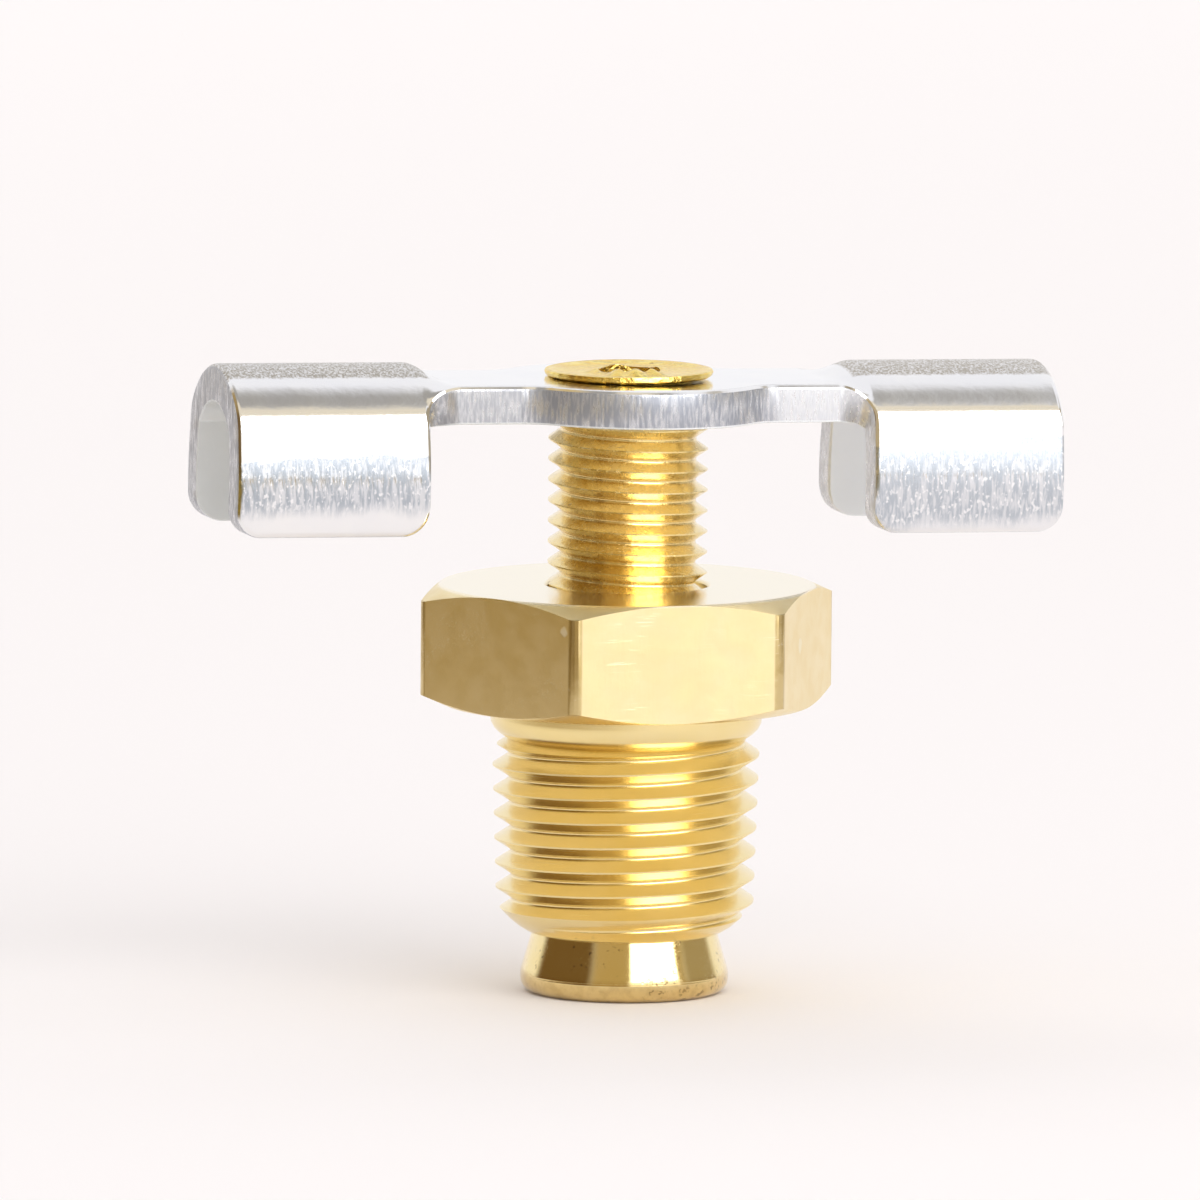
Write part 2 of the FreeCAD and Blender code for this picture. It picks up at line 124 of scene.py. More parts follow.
def pick(piece, kind, test):
    """Opens a piece in edit mode with the vertices, edges or faces selected that pass a test."""
    only(piece)
    bpy.ops.object.mode_set(mode="EDIT")
    bpy.ops.mesh.select_mode(type=kind)
    bpy.ops.mesh.select_all(action="DESELECT")
    mesh = bmesh.from_edit_mesh(piece.data)
    parts = {"VERT": mesh.verts, "EDGE": mesh.edges, "FACE": mesh.faces}[kind]
    for part in parts:
        if test(part):
            part.select_set(True)
    mesh.select_flush_mode()
    bmesh.update_edit_mesh(piece.data)


def apply_modifier(piece, kind, **settings):
    """Adds a modifier with these settings and applies it."""
    only(piece)
    modifier = piece.modifiers.new(kind.lower(), kind)
    for setting, value in settings.items():
        setattr(modifier, setting, value)
    bpy.ops.object.modifier_apply(modifier=modifier.name)


def discard(piece):
    """Removes a helper piece and its mesh."""
    mesh = piece.data
    bpy.data.objects.remove(piece)
    bpy.data.meshes.remove(mesh)


def combine(piece, other, operation):
    """Joins, cuts or trims a piece with a helper piece, which is then removed."""
    apply_modifier(piece, "BOOLEAN", object=other, operation=operation, solver="EXACT")
    discard(other)


def clean(piece):
    """Merges doubled points and turns every face outwards."""
    pick(piece, "VERT", lambda vertex: True)
    bpy.ops.mesh.remove_doubles(threshold=MERGE_DISTANCE)
    bpy.ops.mesh.normals_make_consistent(inside=False)
    close_edit()


def bevel(piece, test, width, segments, **settings):
    """Bevels the edges of a piece that pass a test, by a width in millimetres."""
    pick(piece, "EDGE", test)
    bpy.ops.mesh.bevel(offset=width * MM, segments=segments, **settings)
    close_edit()


def solidity(piece):
    """Volume in cubic millimetres, above zero where faces point outwards, and edges left open."""
    mesh = bmesh.new()
    mesh.from_mesh(piece.data)
    volume = mesh.calc_volume(signed=True) / MM ** 3
    open_edges = sum(1 for edge in mesh.edges if len(edge.link_faces) != 2)
    mesh.free()
    return volume, open_edges


def report(piece):
    """Prints a piece's box in millimetres, its triangles, its open edges and its volume."""
    corners = [piece.matrix_world @ Vector(corner) for corner in piece.bound_box]
    low = [round(min(corner[axis] for corner in corners) / MM, 2) for axis in range(3)]
    high = [round(max(corner[axis] for corner in corners) / MM, 2) for axis in range(3)]
    triangles = sum(len(face.vertices) - 2 for face in piece.data.polygons)
    volume, open_edges = solidity(piece)
    print(piece.name, low, high, "triangles", triangles, "open edges", open_edges, "volume", round(volume, 1))


print("bench tools ready")

# %% [markdown]
# A lathe and a die
#
# Nearly all of the brass is turned on a lathe, so the same is done here: one vertex is extruded
# from point to point into half a profile, and the profile is spun about the stem's axis. A screw
# thread could be faked with rings, but rings don't wind. So one pitch of the thread is drawn as a
# profile and the Screw modifier winds it up the axis, as a die does. The winding is longer than
# needed: its open ends are filled, and the turned blank that it is trimmed to cuts them off.

# %% Helpers that turn and cut threads
TURNING_STEPS = 128
SPARE_TURNS = 2
FLANK_ANGLE = math.radians(34)
ROOT_SEGMENTS = 3


def draw_line(name, points):
    """Draws a chain of edges through points of radius and height in millimetres."""
    deselect()
    bpy.ops.mesh.primitive_plane_add(size=MM)
    line = bpy.context.object
    line.name = name
    bpy.ops.object.mode_set(mode="EDIT")
    bpy.ops.mesh.select_mode(type="VERT")
    bpy.ops.mesh.select_all(action="SELECT")
    bpy.ops.mesh.merge(type="CENTER")
    here = Vector((0, 0, 0))
    for index, (radius, height) in enumerate(points):
        there = Vector((radius * MM, 0, height * MM))
        if index == 0:
            bpy.ops.transform.translate(value=there - here)
        else:
            bpy.ops.mesh.extrude_vertices_move(TRANSFORM_OT_translate={"value": there - here})
        here = there
    close_edit()
    return line


def turn(name, points, steps=TURNING_STEPS):
    """Spins a profile that starts and ends on the axis, or a closed one, into a turned piece."""
    piece = draw_line(name, points)
    pick(piece, "VERT", lambda vertex: True)
    bpy.ops.mesh.spin(steps=steps, angle=2 * math.pi, center=(0, 0, 0), axis=(0, 0, 1))
    close_edit()
    clean(piece)
    return piece


def wind_thread(name, crest, pitch, root_round, foot, top, hand, steps):
    """Winds one pitch of a thread, with a sharp crest and a round root, past foot and top."""
    apex = crest - pitch / 2 / math.tan(FLANK_ANGLE)
    root = apex + root_round * (1 / math.sin(FLANK_ANGLE) - 1)
    start = foot - SPARE_TURNS * pitch
    turns = math.ceil((top - foot) / pitch) + SPARE_TURNS + 1
    swing = math.pi / 2 - FLANK_ANGLE
    angles = [swing * step / ROOT_SEGMENTS for step in range(ROOT_SEGMENTS + 1)]
    rise = [(root + root_round * (1 - math.cos(a)), root_round * math.sin(a)) for a in angles]
    points = [(radius, start + height) for radius, height in rise]
    points += [(crest, start + pitch / 2)]
    points += [(radius, start + pitch - height) for radius, height in reversed(rise)]
    piece = draw_line(name, points)
    apply_modifier(
        piece, "SCREW", axis="Z", angle=hand * 2 * math.pi, screw_offset=pitch * MM,
        iterations=turns, steps=steps, render_steps=steps,
    )
    clean(piece)
    middle = (foot + top) / 2 * MM
    for lower in (True, False):
        pick(piece, "EDGE", lambda edge: edge.is_boundary and (edge.verts[0].co.z < middle) == lower)
        bpy.ops.mesh.edge_face_add()
        bpy.ops.mesh.poke()
        close_edit()
    clean(piece)
    return piece


print("lathe and die ready")

# %% [markdown]
# The hexagon body
#
# The body starts as hexagon bar. A six-sided cylinder gives the bar, and its six long edges get
# the small radius that drawn bar has. A lathe tool then chamfers both ends, which leaves the arc
# on each flat that every nut shows. Such arcs are hard to draw by hand, but cutting the bar with a
# turned shape gives them for free, as it does in the workshop.

# %% Hexagon bar with turned ends
HEX_FLATS = 14.29
HEX_UNDER = 11.17
HEX_TOP = 15.72
HEX_CORNER_RADIUS = 0.5
HEX_TOP_RADIUS = 7.12
HEX_UNDER_RADIUS = 7.1
HEX_TOP_SLOPE = math.tan(math.radians(24.5))
HEX_UNDER_SLOPE = math.tan(math.radians(24.0))
HEX_REACH = 8.75
HALF_SIDE = math.radians(30)
BAR_SPARE = 1.0


def rod(name, sides, radius, length, middle, turned=(0, 0, 0)):
    """A bar, a drill or a punch by radius, length and height of its middle in millimetres."""
    deselect()
    bpy.ops.mesh.primitive_cylinder_add(
        vertices=sides, radius=radius * MM, depth=length * MM, location=(0, 0, middle * MM), rotation=turned,
    )
    made = bpy.context.object
    made.name = name
    bpy.ops.object.transform_apply(location=True, rotation=True, scale=True)
    return made


def is_upright(edge):
    """A test for the bar's long edges."""
    first, second = (vertex.co for vertex in edge.verts)
    return abs(first.z - second.z) > MM and (first - second).xy.length < MERGE_DISTANCE


body = rod(
    "hexagon_body", 6, HEX_FLATS / math.sqrt(3), HEX_TOP - HEX_UNDER + 2 * BAR_SPARE,
    (HEX_TOP + HEX_UNDER) / 2, (0, 0, HALF_SIDE),
)
bevel(body, is_upright, HEX_CORNER_RADIUS * math.tan(HALF_SIDE), 4)
ends = turn("bar_ends", [
    (0, HEX_UNDER),
    (HEX_UNDER_RADIUS, HEX_UNDER),
    (HEX_REACH, HEX_UNDER + (HEX_REACH - HEX_UNDER_RADIUS) * HEX_UNDER_SLOPE),
    (HEX_REACH, HEX_TOP - (HEX_REACH - HEX_TOP_RADIUS) * HEX_TOP_SLOPE),
    (HEX_TOP_RADIUS, HEX_TOP),
    (0, HEX_TOP),
])
combine(body, ends, "INTERSECT")
report(body)

# %% [markdown]
# The pipe thread
#
# The shank under the hexagon carries a tapered pipe thread: 27 turns to the inch, right-handed,
# growing by 1 in 16 on its diameter. The thread is wound straight and then tapered. Its crests are
# drawn sharp and too high, and are trimmed by the turned blank, as they are when a die cuts a
# thread on a turned blank. The blank's rounded lead-in fades the first turn.

# %% Tapered shank
PIPE_PITCH = 0.941
PIPE_TAPER = 1 / 32
BODY_END = 2.32
PIPE_TOP = 9.75
PIPE_RADIUS = 4.91
PIPE_ROOT_ROUND = 0.1
PIPE_STEPS = 96
PIPE_PHASE = 0.36
PIPE_SPARE = 0.3
SHARP_CREST = 0.05
THREAD_LEAD = 0.5
RIGHT_HAND = 1
END_RIM = 3.63
END_CHAMFER = 1.05
LEAD_IN = [(3.81, 2.39), (4.12, 2.58), (4.42, 2.83), (4.68, 3.09)]
PIPE_FADE = 0.35
COLLAR_FOOT_RADIUS = 4.45
COLLAR_LAP = 0.1
BLANK_STEPS = 107

axis_radius = PIPE_RADIUS - BODY_END * PIPE_TAPER
shank = wind_thread(
    "pipe_shank", axis_radius + SHARP_CREST, PIPE_PITCH, PIPE_ROOT_ROUND,
    BODY_END - THREAD_LEAD + PIPE_PHASE, PIPE_TOP + PIPE_SPARE, RIGHT_HAND, PIPE_STEPS,
)
shank_height = max(v.co.z for v in shank.data.vertices) - min(v.co.z for v in shank.data.vertices)
apply_modifier(
    shank, "SIMPLE_DEFORM", deform_method="TAPER", deform_axis="Z",
    factor=PIPE_TAPER / axis_radius * shank_height / MM,
)
blank = turn("shank_blank", [
    (0, BODY_END),
    (END_RIM, BODY_END),
    *LEAD_IN,
    (PIPE_RADIUS + END_CHAMFER * PIPE_TAPER, BODY_END + END_CHAMFER),
    (PIPE_RADIUS + (PIPE_TOP - BODY_END - PIPE_FADE) * PIPE_TAPER, PIPE_TOP - PIPE_FADE),
    (COLLAR_FOOT_RADIUS, PIPE_TOP + COLLAR_LAP),
    (0, PIPE_TOP + COLLAR_LAP),
], BLANK_STEPS)
combine(shank, blank, "INTERSECT")
report(shank)

# %% [markdown]
# The collar
#
# A plain collar joins the thread to the hexagon. It flares up from the last turn in a slope and a
# round, and its upper end is sunk into the hexagon so that the two join without a seam. Each turned
# piece has its own number of steps, because joining works best where no two edges coincide.

# %% Collar
COLLAR_FOOT = 9.5
COLLAR_RADIUS = 5.22
COLLAR_FLARE = [
    (4.2, COLLAR_FOOT), (4.36, 9.70), (4.62, 9.84), (4.88, 10.01), (5.08, 10.2), (5.19, 10.42),
    (COLLAR_RADIUS, 10.7),
]
COLLAR_SINK = 0.4
COLLAR_STEPS = 116

collar = turn("collar", [
    (0, COLLAR_FOOT),
    *COLLAR_FLARE,
    (COLLAR_RADIUS, HEX_UNDER + COLLAR_SINK),
    (0, HEX_UNDER + COLLAR_SINK),
], COLLAR_STEPS)
combine(body, collar, "UNION")
combine(body, shank, "UNION")
report(body)

# %% [markdown]
# The bore
#
# The body is bored through: a nut thread at the top that guides the stem, a wider flow bore, and
# a conical seat at the lower mouth. Hardly any of it shows while the valve is closed, so the nut
# thread stays a plain wall, as in the frame, and one turned cutter makes the whole bore.

# %% Bore, mouth and seat
NUT_RADIUS = 3.09
FLOW_RADIUS = 3.32
NUT_FOOT = 9.55
SEAT_TOP = 3.309
MOUTH_RADIUS = 3.60
SEAT_SLOPE = math.tan(math.radians(15.8))
CUT_SPARE = 0.5
MOUTH_CHAMFER = 0.12

cutter = turn("bore_cutter", [
    (0, BODY_END - CUT_SPARE),
    (MOUTH_RADIUS + CUT_SPARE * SEAT_SLOPE, BODY_END - CUT_SPARE),
    (FLOW_RADIUS, SEAT_TOP),
    (FLOW_RADIUS, NUT_FOOT - FLOW_RADIUS + NUT_RADIUS),
    (NUT_RADIUS, NUT_FOOT),
    (NUT_RADIUS, HEX_TOP - MOUTH_CHAMFER),
    (NUT_RADIUS + MOUTH_CHAMFER + CUT_SPARE, HEX_TOP + CUT_SPARE),
    (0, HEX_TOP + CUT_SPARE),
])
combine(body, cutter, "DIFFERENCE")
report(body)

# %% [markdown]
# Broken edges
#
# No edge of a tumbled part is razor sharp. A fine bevel breaks the hexagon's edges, so that they
# catch the light. It comes after the cuts, because cutting and joining need plain faces.

# %% Break the hexagon's edges
EDGE_BREAK = 0.04
SHARP_EDGE = math.radians(12)
HEX_INSIDE = 5.6


def is_hexagon_edge(edge):
    """A test for the sharp edges outside the shank and the bore."""
    outside = all(vertex.co.xy.length > HEX_INSIDE * MM for vertex in edge.verts)
    return outside and len(edge.link_faces) == 2 and edge.calc_face_angle() > SHARP_EDGE


bevel(body, is_hexagon_edge, EDGE_BREAK, 2, clamp_overlap=True)
report(body)

# %% [markdown]
# The stem
#
# Stem and plug are one turned piece: a flat-ended plug that flares towards its foot, a waist that
# lets the water in, a core that carries the thread, and a spigot whose end is riveted over the
# handle into a flared head. The whole half profile is drawn once and spun.

# %% Turned stem
PLUG_FOOT = [(3.55, 0), (3.74, 0.06), (3.88, 0.18), (3.97, 0.36), (4.0, 0.56)]
PLUG_CONE = [(3.99, 0.78), (3.94, 0.98), (3.80, 1.45), (3.60, 2.15), (3.30, 3.24)]
WAIST = [(3.12, 3.42), (2.52, 3.60), (2.40, 3.75), (2.40, 8.20)]
STEM_CREST = 3.06
STEM_CORE = 2.5
CORE_FOOT = 8.32
SHOULDER = 22.20
SHOULDER_RADIUS = STEM_CREST - 0.1
SHOULDER_SLOPE = 0.4
SPIGOT_RADIUS = 2.45
HEAD_UNDER = 23.70
# Radius, and height over the underside of the head.
HEAD_RIM = [(2.90, 0), (3.10, 0.04), (3.20, 0.12), (3.24, 0.22), (3.20, 0.30), (3.08, 0.33)]
HEAD_DISH = [
    (2.92, 0.30), (2.70, 0.23), (2.30, 0.18), (1.80, 0.18), (1.45, 0.24), (1.28, 0.30), (1.14, 0.28),
    (0, 0.28),
]

stem = turn("threaded_stem", [
    (0, 0),
    *PLUG_FOOT,
    *PLUG_CONE,
    *WAIST,
    (STEM_CORE, CORE_FOOT),
    (STEM_CORE, SHOULDER - SHOULDER_SLOPE),
    (SHOULDER_RADIUS, SHOULDER),
    (SPIGOT_RADIUS, SHOULDER),
    (SPIGOT_RADIUS, HEAD_UNDER),
    *((radius, HEAD_UNDER + height) for radius, height in HEAD_RIM + HEAD_DISH),
])
report(stem)

# %% [markdown]
# The drain and its burred lip
#
# Riveting leaves the drain's mouth ragged: the lip is pushed up in a few tips. The lip is a ring
# of points after the spin, so those points are picked and lifted or lowered by a slow wave round
# the ring. The drain is then drilled down the stem's axis to a cross hole in the waist.

# %% Drain, cross hole and burrs
LIP_INNER = 1.0
LIP_OUTER = 1.7
LIP_FOOT = HEAD_UNDER + 0.1
LIP_DROP = -0.04
# Angle round the lip in degrees, width in degrees and height in millimetres of each burr.
BURRS = [
    (-95, 26, 0.20), (-62, 20, 0.16), (-125, 22, 0.17), (10, 30, 0.08), (100, 40, 0.10), (170, 30, 0.08),
]
DRAIN_RADIUS = 1.2
DRAIN_POINT = 0.7
DRAIN_STEPS = 64
DRILL_SPARE = 1.0
CROSS_HOLE_HEIGHT = 4.974
CROSS_HOLE_RADIUS = 1.0
CROSS_DRILL_LENGTH = 10.0
CROSS_DRILL_SIDES = 48


def lip_lift(angle):
    """Height of the burrs at an angle round the lip, in millimetres."""
    lift = LIP_DROP
    for centre, width, height in BURRS:
        apart = (angle - centre + 180) % 360 - 180
        lift += height * math.exp(-(apart / width * 2) ** 2)
    return lift


def on_lip(vertex):
    """A test for the ring of points round the drain's mouth."""
    radius = vertex.co.xy.length / MM
    return vertex.co.z > LIP_FOOT * MM and LIP_INNER < radius < LIP_OUTER


pick(stem, "VERT", on_lip)
mesh = bmesh.from_edit_mesh(stem.data)
for vertex in mesh.verts:
    if vertex.select:
        vertex.co.z += lip_lift(math.degrees(math.atan2(vertex.co.y, vertex.co.x))) * MM
bmesh.update_edit_mesh(stem.data)
close_edit()

drain = turn("drain_drill", [
    (0, CROSS_HOLE_HEIGHT - DRAIN_POINT),
    (DRAIN_RADIUS, CROSS_HOLE_HEIGHT),
    (DRAIN_RADIUS, HEAD_UNDER + DRILL_SPARE),
    (0, HEAD_UNDER + DRILL_SPARE),
], DRAIN_STEPS)
combine(stem, drain, "DIFFERENCE")
cross_drill = rod(
    "cross_drill", CROSS_DRILL_SIDES, CROSS_HOLE_RADIUS, CROSS_DRILL_LENGTH, CROSS_HOLE_HEIGHT,
    (math.pi / 2, 0, 0),
)
combine(stem, cross_drill, "DIFFERENCE")
report(stem)

# %% [markdown]
# The stem's thread
#
# The stem has a left-hand thread, so this winding turns the other way. It is trimmed to a turned
# sleeve whose inner wall lies hidden inside the core, and the sleeve is joined to the stem. It
# comes after the drilling, because drilling a plain core is a simpler cut than drilling a thread.

# %% Left-hand thread
STEM_PITCH = 0.794
STEM_ROOT_ROUND = 0.12
STEM_STEPS = 72
STEM_PHASE = 0.44
STEM_SHARP_CREST = 0.04
LEFT_HAND = -1
NECK_TOP = 8.674
SLEEVE_FOOT = NECK_TOP - 0.4
SLEEVE_TOP = SHOULDER - 0.02
SLEEVE_INNER = 1.8
SLEEVE_SINK = 0.1
TOP_CHAMFER = 0.15
TOP_CHAMFER_FOOT = SHOULDER - 0.3

sleeve = wind_thread(
    "thread_sleeve", STEM_CREST + STEM_SHARP_CREST, STEM_PITCH, STEM_ROOT_ROUND,
    NECK_TOP - THREAD_LEAD + STEM_PHASE, SHOULDER, LEFT_HAND, STEM_STEPS,
)
sleeve_blank = turn("sleeve_blank", [
    (SLEEVE_INNER, SLEEVE_FOOT),
    (STEM_CORE - SLEEVE_SINK, SLEEVE_FOOT),
    (STEM_CREST, NECK_TOP),
    (STEM_CREST, TOP_CHAMFER_FOOT),
    (STEM_CREST - TOP_CHAMFER, SLEEVE_TOP),
    (SLEEVE_INNER, SLEEVE_TOP),
    (SLEEVE_INNER, SLEEVE_FOOT),
])
combine(sleeve, sleeve_blank, "INTERSECT")
combine(stem, sleeve, "UNION")
report(stem)

# %% [markdown]
# The wing handle
#
# The handle is stamped from steel sheet. It starts as a flat blank: a round hub, two arms, and two
# broad wings, with all corners rounded. One quarter of the outline is drawn, laid flat and mirrored
# twice, the outline is filled, and the sheet gets its thickness by extruding. The stamped edges are
# bevelled: more on the upper side, where the punch pulls the metal in.

# %% Flat blank of the handle
SHEET = 1.46
HUB_TOP = 23.68
HUB_RADIUS = 5.3
HUB_BLEND = 1.6
ARM_HALF = 3.0
WING_START = 8.8
WING_END = 16.4
WING_CROWN = 24.28
WING_HALF = 3.65
DOME_RADIUS = 4.4
BEND_RADIUS = 1.6
FLAP_FOOT = 18.0
FLAP_CORNER = 1.0
ROOT_BLEND = 1.0
UPPER_EDGE = 0.22
LOWER_EDGE = 0.08
LYING = 0.5
UPRIGHT = 0.3


def arc(across, up, radius, start, end, count):
    """Points on an arc, with angles in degrees."""
    angles = [math.radians(start + (end - start) * step / count) for step in range(count + 1)]
    return [(across + radius * math.cos(a), up + radius * math.sin(a)) for a in angles]


dome_centre = WING_CROWN - DOME_RADIUS
bend_across = WING_HALF - BEND_RADIUS
bend_up = math.sqrt((DOME_RADIUS - BEND_RADIUS) ** 2 - bend_across ** 2)
bend_start = math.atan2(bend_across, bend_up)
dome_length = DOME_RADIUS * bend_start
bend_length = BEND_RADIUS * (math.pi / 2 - bend_start)
flap_length = dome_centre + bend_up - FLAP_FOOT
blank_half = dome_length + bend_length + flap_length
blend_x = math.sqrt((HUB_RADIUS + HUB_BLEND) ** 2 - (ARM_HALF + HUB_BLEND) ** 2)
blend_angle = math.degrees(math.atan2(ARM_HALF + HUB_BLEND, blend_x))
quarter = arc(0, 0, HUB_RADIUS, 90, blend_angle, 14)
quarter += arc(blend_x, ARM_HALF + HUB_BLEND, HUB_BLEND, blend_angle + 180, 270, 10)[1:]
quarter += arc(WING_START - ROOT_BLEND, ARM_HALF + ROOT_BLEND, ROOT_BLEND, 270, 360, 10)
quarter += arc(WING_START + FLAP_CORNER, blank_half - FLAP_CORNER, FLAP_CORNER, 180, 90, 8)
quarter += arc(WING_END - FLAP_CORNER, blank_half - FLAP_CORNER, FLAP_CORNER, 90, 0, 8)
quarter += [(WING_END, 0)]

handle = draw_line("wing_handle", quarter)
handle.data.transform(Matrix.Rotation(-math.pi / 2, 4, "X"))
apply_modifier(
    handle, "MIRROR", use_axis=(True, True, False), use_clip=True, merge_threshold=MERGE_DISTANCE,
)
clean(handle)
pick(handle, "EDGE", lambda edge: True)
bpy.ops.mesh.edge_face_add()
bpy.ops.mesh.extrude_region_move(TRANSFORM_OT_translate={"value": (0, 0, -SHEET * MM)})
close_edit()
clean(handle)


def rim_at(height):
    """A test for the edges of the sheet's rim at one height."""

    def test(edge):
        level = all(abs(vertex.co.z - height * MM) < MERGE_DISTANCE for vertex in edge.verts)
        return level and not all(abs(face.normal.z) > LYING for face in edge.link_faces)

    return test


bevel(handle, rim_at(0), UPPER_EDGE, 3)
bevel(handle, rim_at(-SHEET), LOWER_EDGE, 2)
cut_edge = handle.data.attributes.new("cut_edge", "FLOAT", "FACE")
lower_skin = handle.data.attributes.new("lower_skin", "FLOAT", "FACE")
for face in handle.data.polygons:
    cut_edge.data[face.index].value = 1.0 if abs(face.normal.z) < UPRIGHT else 0.0
    lower_skin.data[face.index].value = 1.0 if face.normal.z < -UPRIGHT else 0.0
report(handle)

# %% [markdown]
# Folding the wings
#
# A press folds each wing down over a rounded tool. A bend modifier knows only one radius, and this
# section has several, so the fold is made in two moves: the blank is scored by straight cuts along
# and across the wings, which gives it points to bend at, and each point is then carried from its
# place on the flat sheet to its place on the folded section. The section is an arc over the top, a
# tighter arc at each shoulder and a nearly flat flap. Between arm and wing the fold fades in over a
# short ramp.

# %% Score and fold
RAMP_START = 7.5
RAMP_END = 8.95
RAMP_CUTS = 10
DOME_CUTS = 12
BEND_CUTS = 12
FLAP_CUTS = 8
FLAP_BOW = 0.2


def score(piece, place, direction):
    """Cuts a straight line into all faces that a plane crosses."""
    pick(piece, "FACE", lambda face: True)
    bpy.ops.mesh.bisect(plane_co=place, plane_no=direction)
    close_edit()


lines = [0.0]
lines += [dome_length * step / DOME_CUTS for step in range(1, DOME_CUTS + 1)]
lines += [dome_length + bend_length * step / BEND_CUTS for step in range(1, BEND_CUTS + 1)]
lines += [dome_length + bend_length + flap_length * step / FLAP_CUTS for step in range(1, FLAP_CUTS)]
for line in sorted(set(lines + [-line for line in lines])):
    score(handle, (0, line * MM, 0), (0, 1, 0))
for step in range(RAMP_CUTS + 1):
    for side in (-1, 1):
        along = side * (RAMP_START + (RAMP_END - RAMP_START) * step / RAMP_CUTS)
        score(handle, (along * MM, 0, 0), (1, 0, 0))


def wing_section(across):
    """Place and tilt on the folded section of the outer skin, from the distance to its middle."""
    distance = abs(across)
    if distance <= dome_length:
        tilt = distance / DOME_RADIUS
        place = (DOME_RADIUS * math.sin(tilt), dome_centre + DOME_RADIUS * math.cos(tilt))
    elif distance <= dome_length + bend_length:
        tilt = bend_start + (distance - dome_length) / BEND_RADIUS
        place = (
            bend_across + BEND_RADIUS * math.sin(tilt),
            dome_centre + bend_up + BEND_RADIUS * math.cos(tilt),
        )
    else:
        down = distance - dome_length - bend_length
        share = down / flap_length
        tilt = math.pi / 2
        place = (WING_HALF + FLAP_BOW * math.sin(math.pi * share), dome_centre + bend_up - down)
    side = 1 if across >= 0 else -1
    return side * place[0], place[1], side * tilt


def fold(point):
    """Carries a point of the flat sheet, whose upper skin lies at height 0, to the folded handle."""
    along, across, depth = (value / MM for value in point)
    share = min(max((abs(along) - RAMP_START) / (RAMP_END - RAMP_START), 0), 1)
    share = share * share * (3 - 2 * share)
    wing_across, wing_up, wing_tilt = wing_section(across)
    skin_across = across + (wing_across - across) * share
    skin_up = HUB_TOP + (wing_up - HUB_TOP) * share
    tilt = wing_tilt * share
    return Vector((
        along,
        skin_across + depth * math.sin(tilt),
        skin_up + depth * math.cos(tilt),
    )) * MM


for vertex in handle.data.vertices:
    vertex.co = fold(vertex.co)
report(handle)

# %% [markdown]
# The handle's hole and its seat on the stem
#
# The hub is punched for the stem's spigot. On this valve the riveting pulled the handle about one
# degree out of level, so the finished handle is turned by that much about the middle of its hub.

# %% Punch the hub and level it as riveted
HOLE_RADIUS = 2.48
PUNCH_SIDES = 64
PUNCH_LENGTH = 4 * SHEET
HANDLE_LEAN = math.radians(1.0)

combine(handle, rod("hub_punch", PUNCH_SIDES, HOLE_RADIUS, PUNCH_LENGTH, HUB_TOP), "DIFFERENCE")
lean = Matrix.Rotation(HANDLE_LEAN, 4, "Y")
hub_middle = Matrix.Translation((0, 0, (HUB_TOP - SHEET / 2) * MM))
handle.data.transform(hub_middle @ lean @ hub_middle.inverted())
report(handle)

# %% [markdown]
# Shading
#
# Turned and folded faces are smooth, and corners stay sharp. Smoothing by angle does that, and
# weighted normals keep the large flats flat right up to their bevels.

# %% Smooth the pieces
SMOOTH_LIMIT = math.radians(28)

for piece in (body, stem, handle):
    only(piece)
    bpy.ops.object.shade_smooth_by_angle(angle=SMOOTH_LIMIT)
    apply_modifier(piece, "WEIGHTED_NORMAL", keep_sharp=True, weight=80)
    print(piece.name, "smoothed")

# %% [markdown]
# Building materials from nodes
#
# A material is a small graph: textures read a place on the piece and put out numbers, and the
# numbers steer colour, roughness and height. All patterns here read Object coordinates, which are
# the frame's own metres, so a scratch is as long as it is on the real valve. A few helpers keep
# each node on one line.

# %% Node helpers
def feed(tree, socket, value):
    """Links a socket to the output of another node, or sets it to a value."""
    if isinstance(value, bpy.types.NodeSocket):
        tree.links.new(value, socket)
    else:
        socket.default_value = value


def add_node(tree, kind, inputs=None, **settings):
    """Adds a node with settings, and links or sets its inputs."""
    made = tree.nodes.new(kind)
    for setting, value in settings.items():
        setattr(made, setting, value)
    for label, value in (inputs or {}).items():
        feed(tree, made.inputs[label], value)
    return made


def calculate(tree, operation, first, second=0.0):
    """One step of arithmetic."""
    return add_node(tree, "ShaderNodeMath", {0: first, 1: second}, operation=operation).outputs[0]


def times(tree, first, *others):
    """The product of several shares."""
    for other in others:
        first = calculate(tree, "MULTIPLY", first, other)
    return first


def ramp(tree, value, low, high):
    """A soft step from 0 at one level of a value to 1 at another."""
    return add_node(tree, "ShaderNodeMapRange", {
        "Value": value, "From Min": low, "From Max": high,
    }, interpolation_type="SMOOTHSTEP").outputs["Result"]


def stretch(tree, place, scale):
    """A place whose axes are scaled, so that a pattern is drawn out along one of them."""
    return add_node(tree, "ShaderNodeMapping", {"Vector": place, "Scale": scale}).outputs["Vector"]


def noise(tree, place, scale=1.0, detail=2.0):
    """Cloudy numbers about one half."""
    return add_node(tree, "ShaderNodeTexNoise", {
        "Vector": place, "Scale": scale, "Detail": detail,
    }).outputs["Fac"]


def mix_colour(tree, share, first, second):
    """A mix of two colours by a share."""
    made = tree.nodes.new("ShaderNodeMix")
    made.data_type = "RGBA"
    factor = next(socket for socket in made.inputs if socket.type == "VALUE")
    colours = [socket for socket in made.inputs if socket.type == "RGBA"]
    for socket, value in zip((factor, *colours), (share, first, second)):
        feed(tree, socket, value)
    return next(socket for socket in made.outputs if socket.type == "RGBA")


def mix_value(tree, share, first, second):
    """A mix of two numbers by a share."""
    step = calculate(tree, "SUBTRACT", second, first)
    return calculate(tree, "ADD", first, times(tree, share, step))


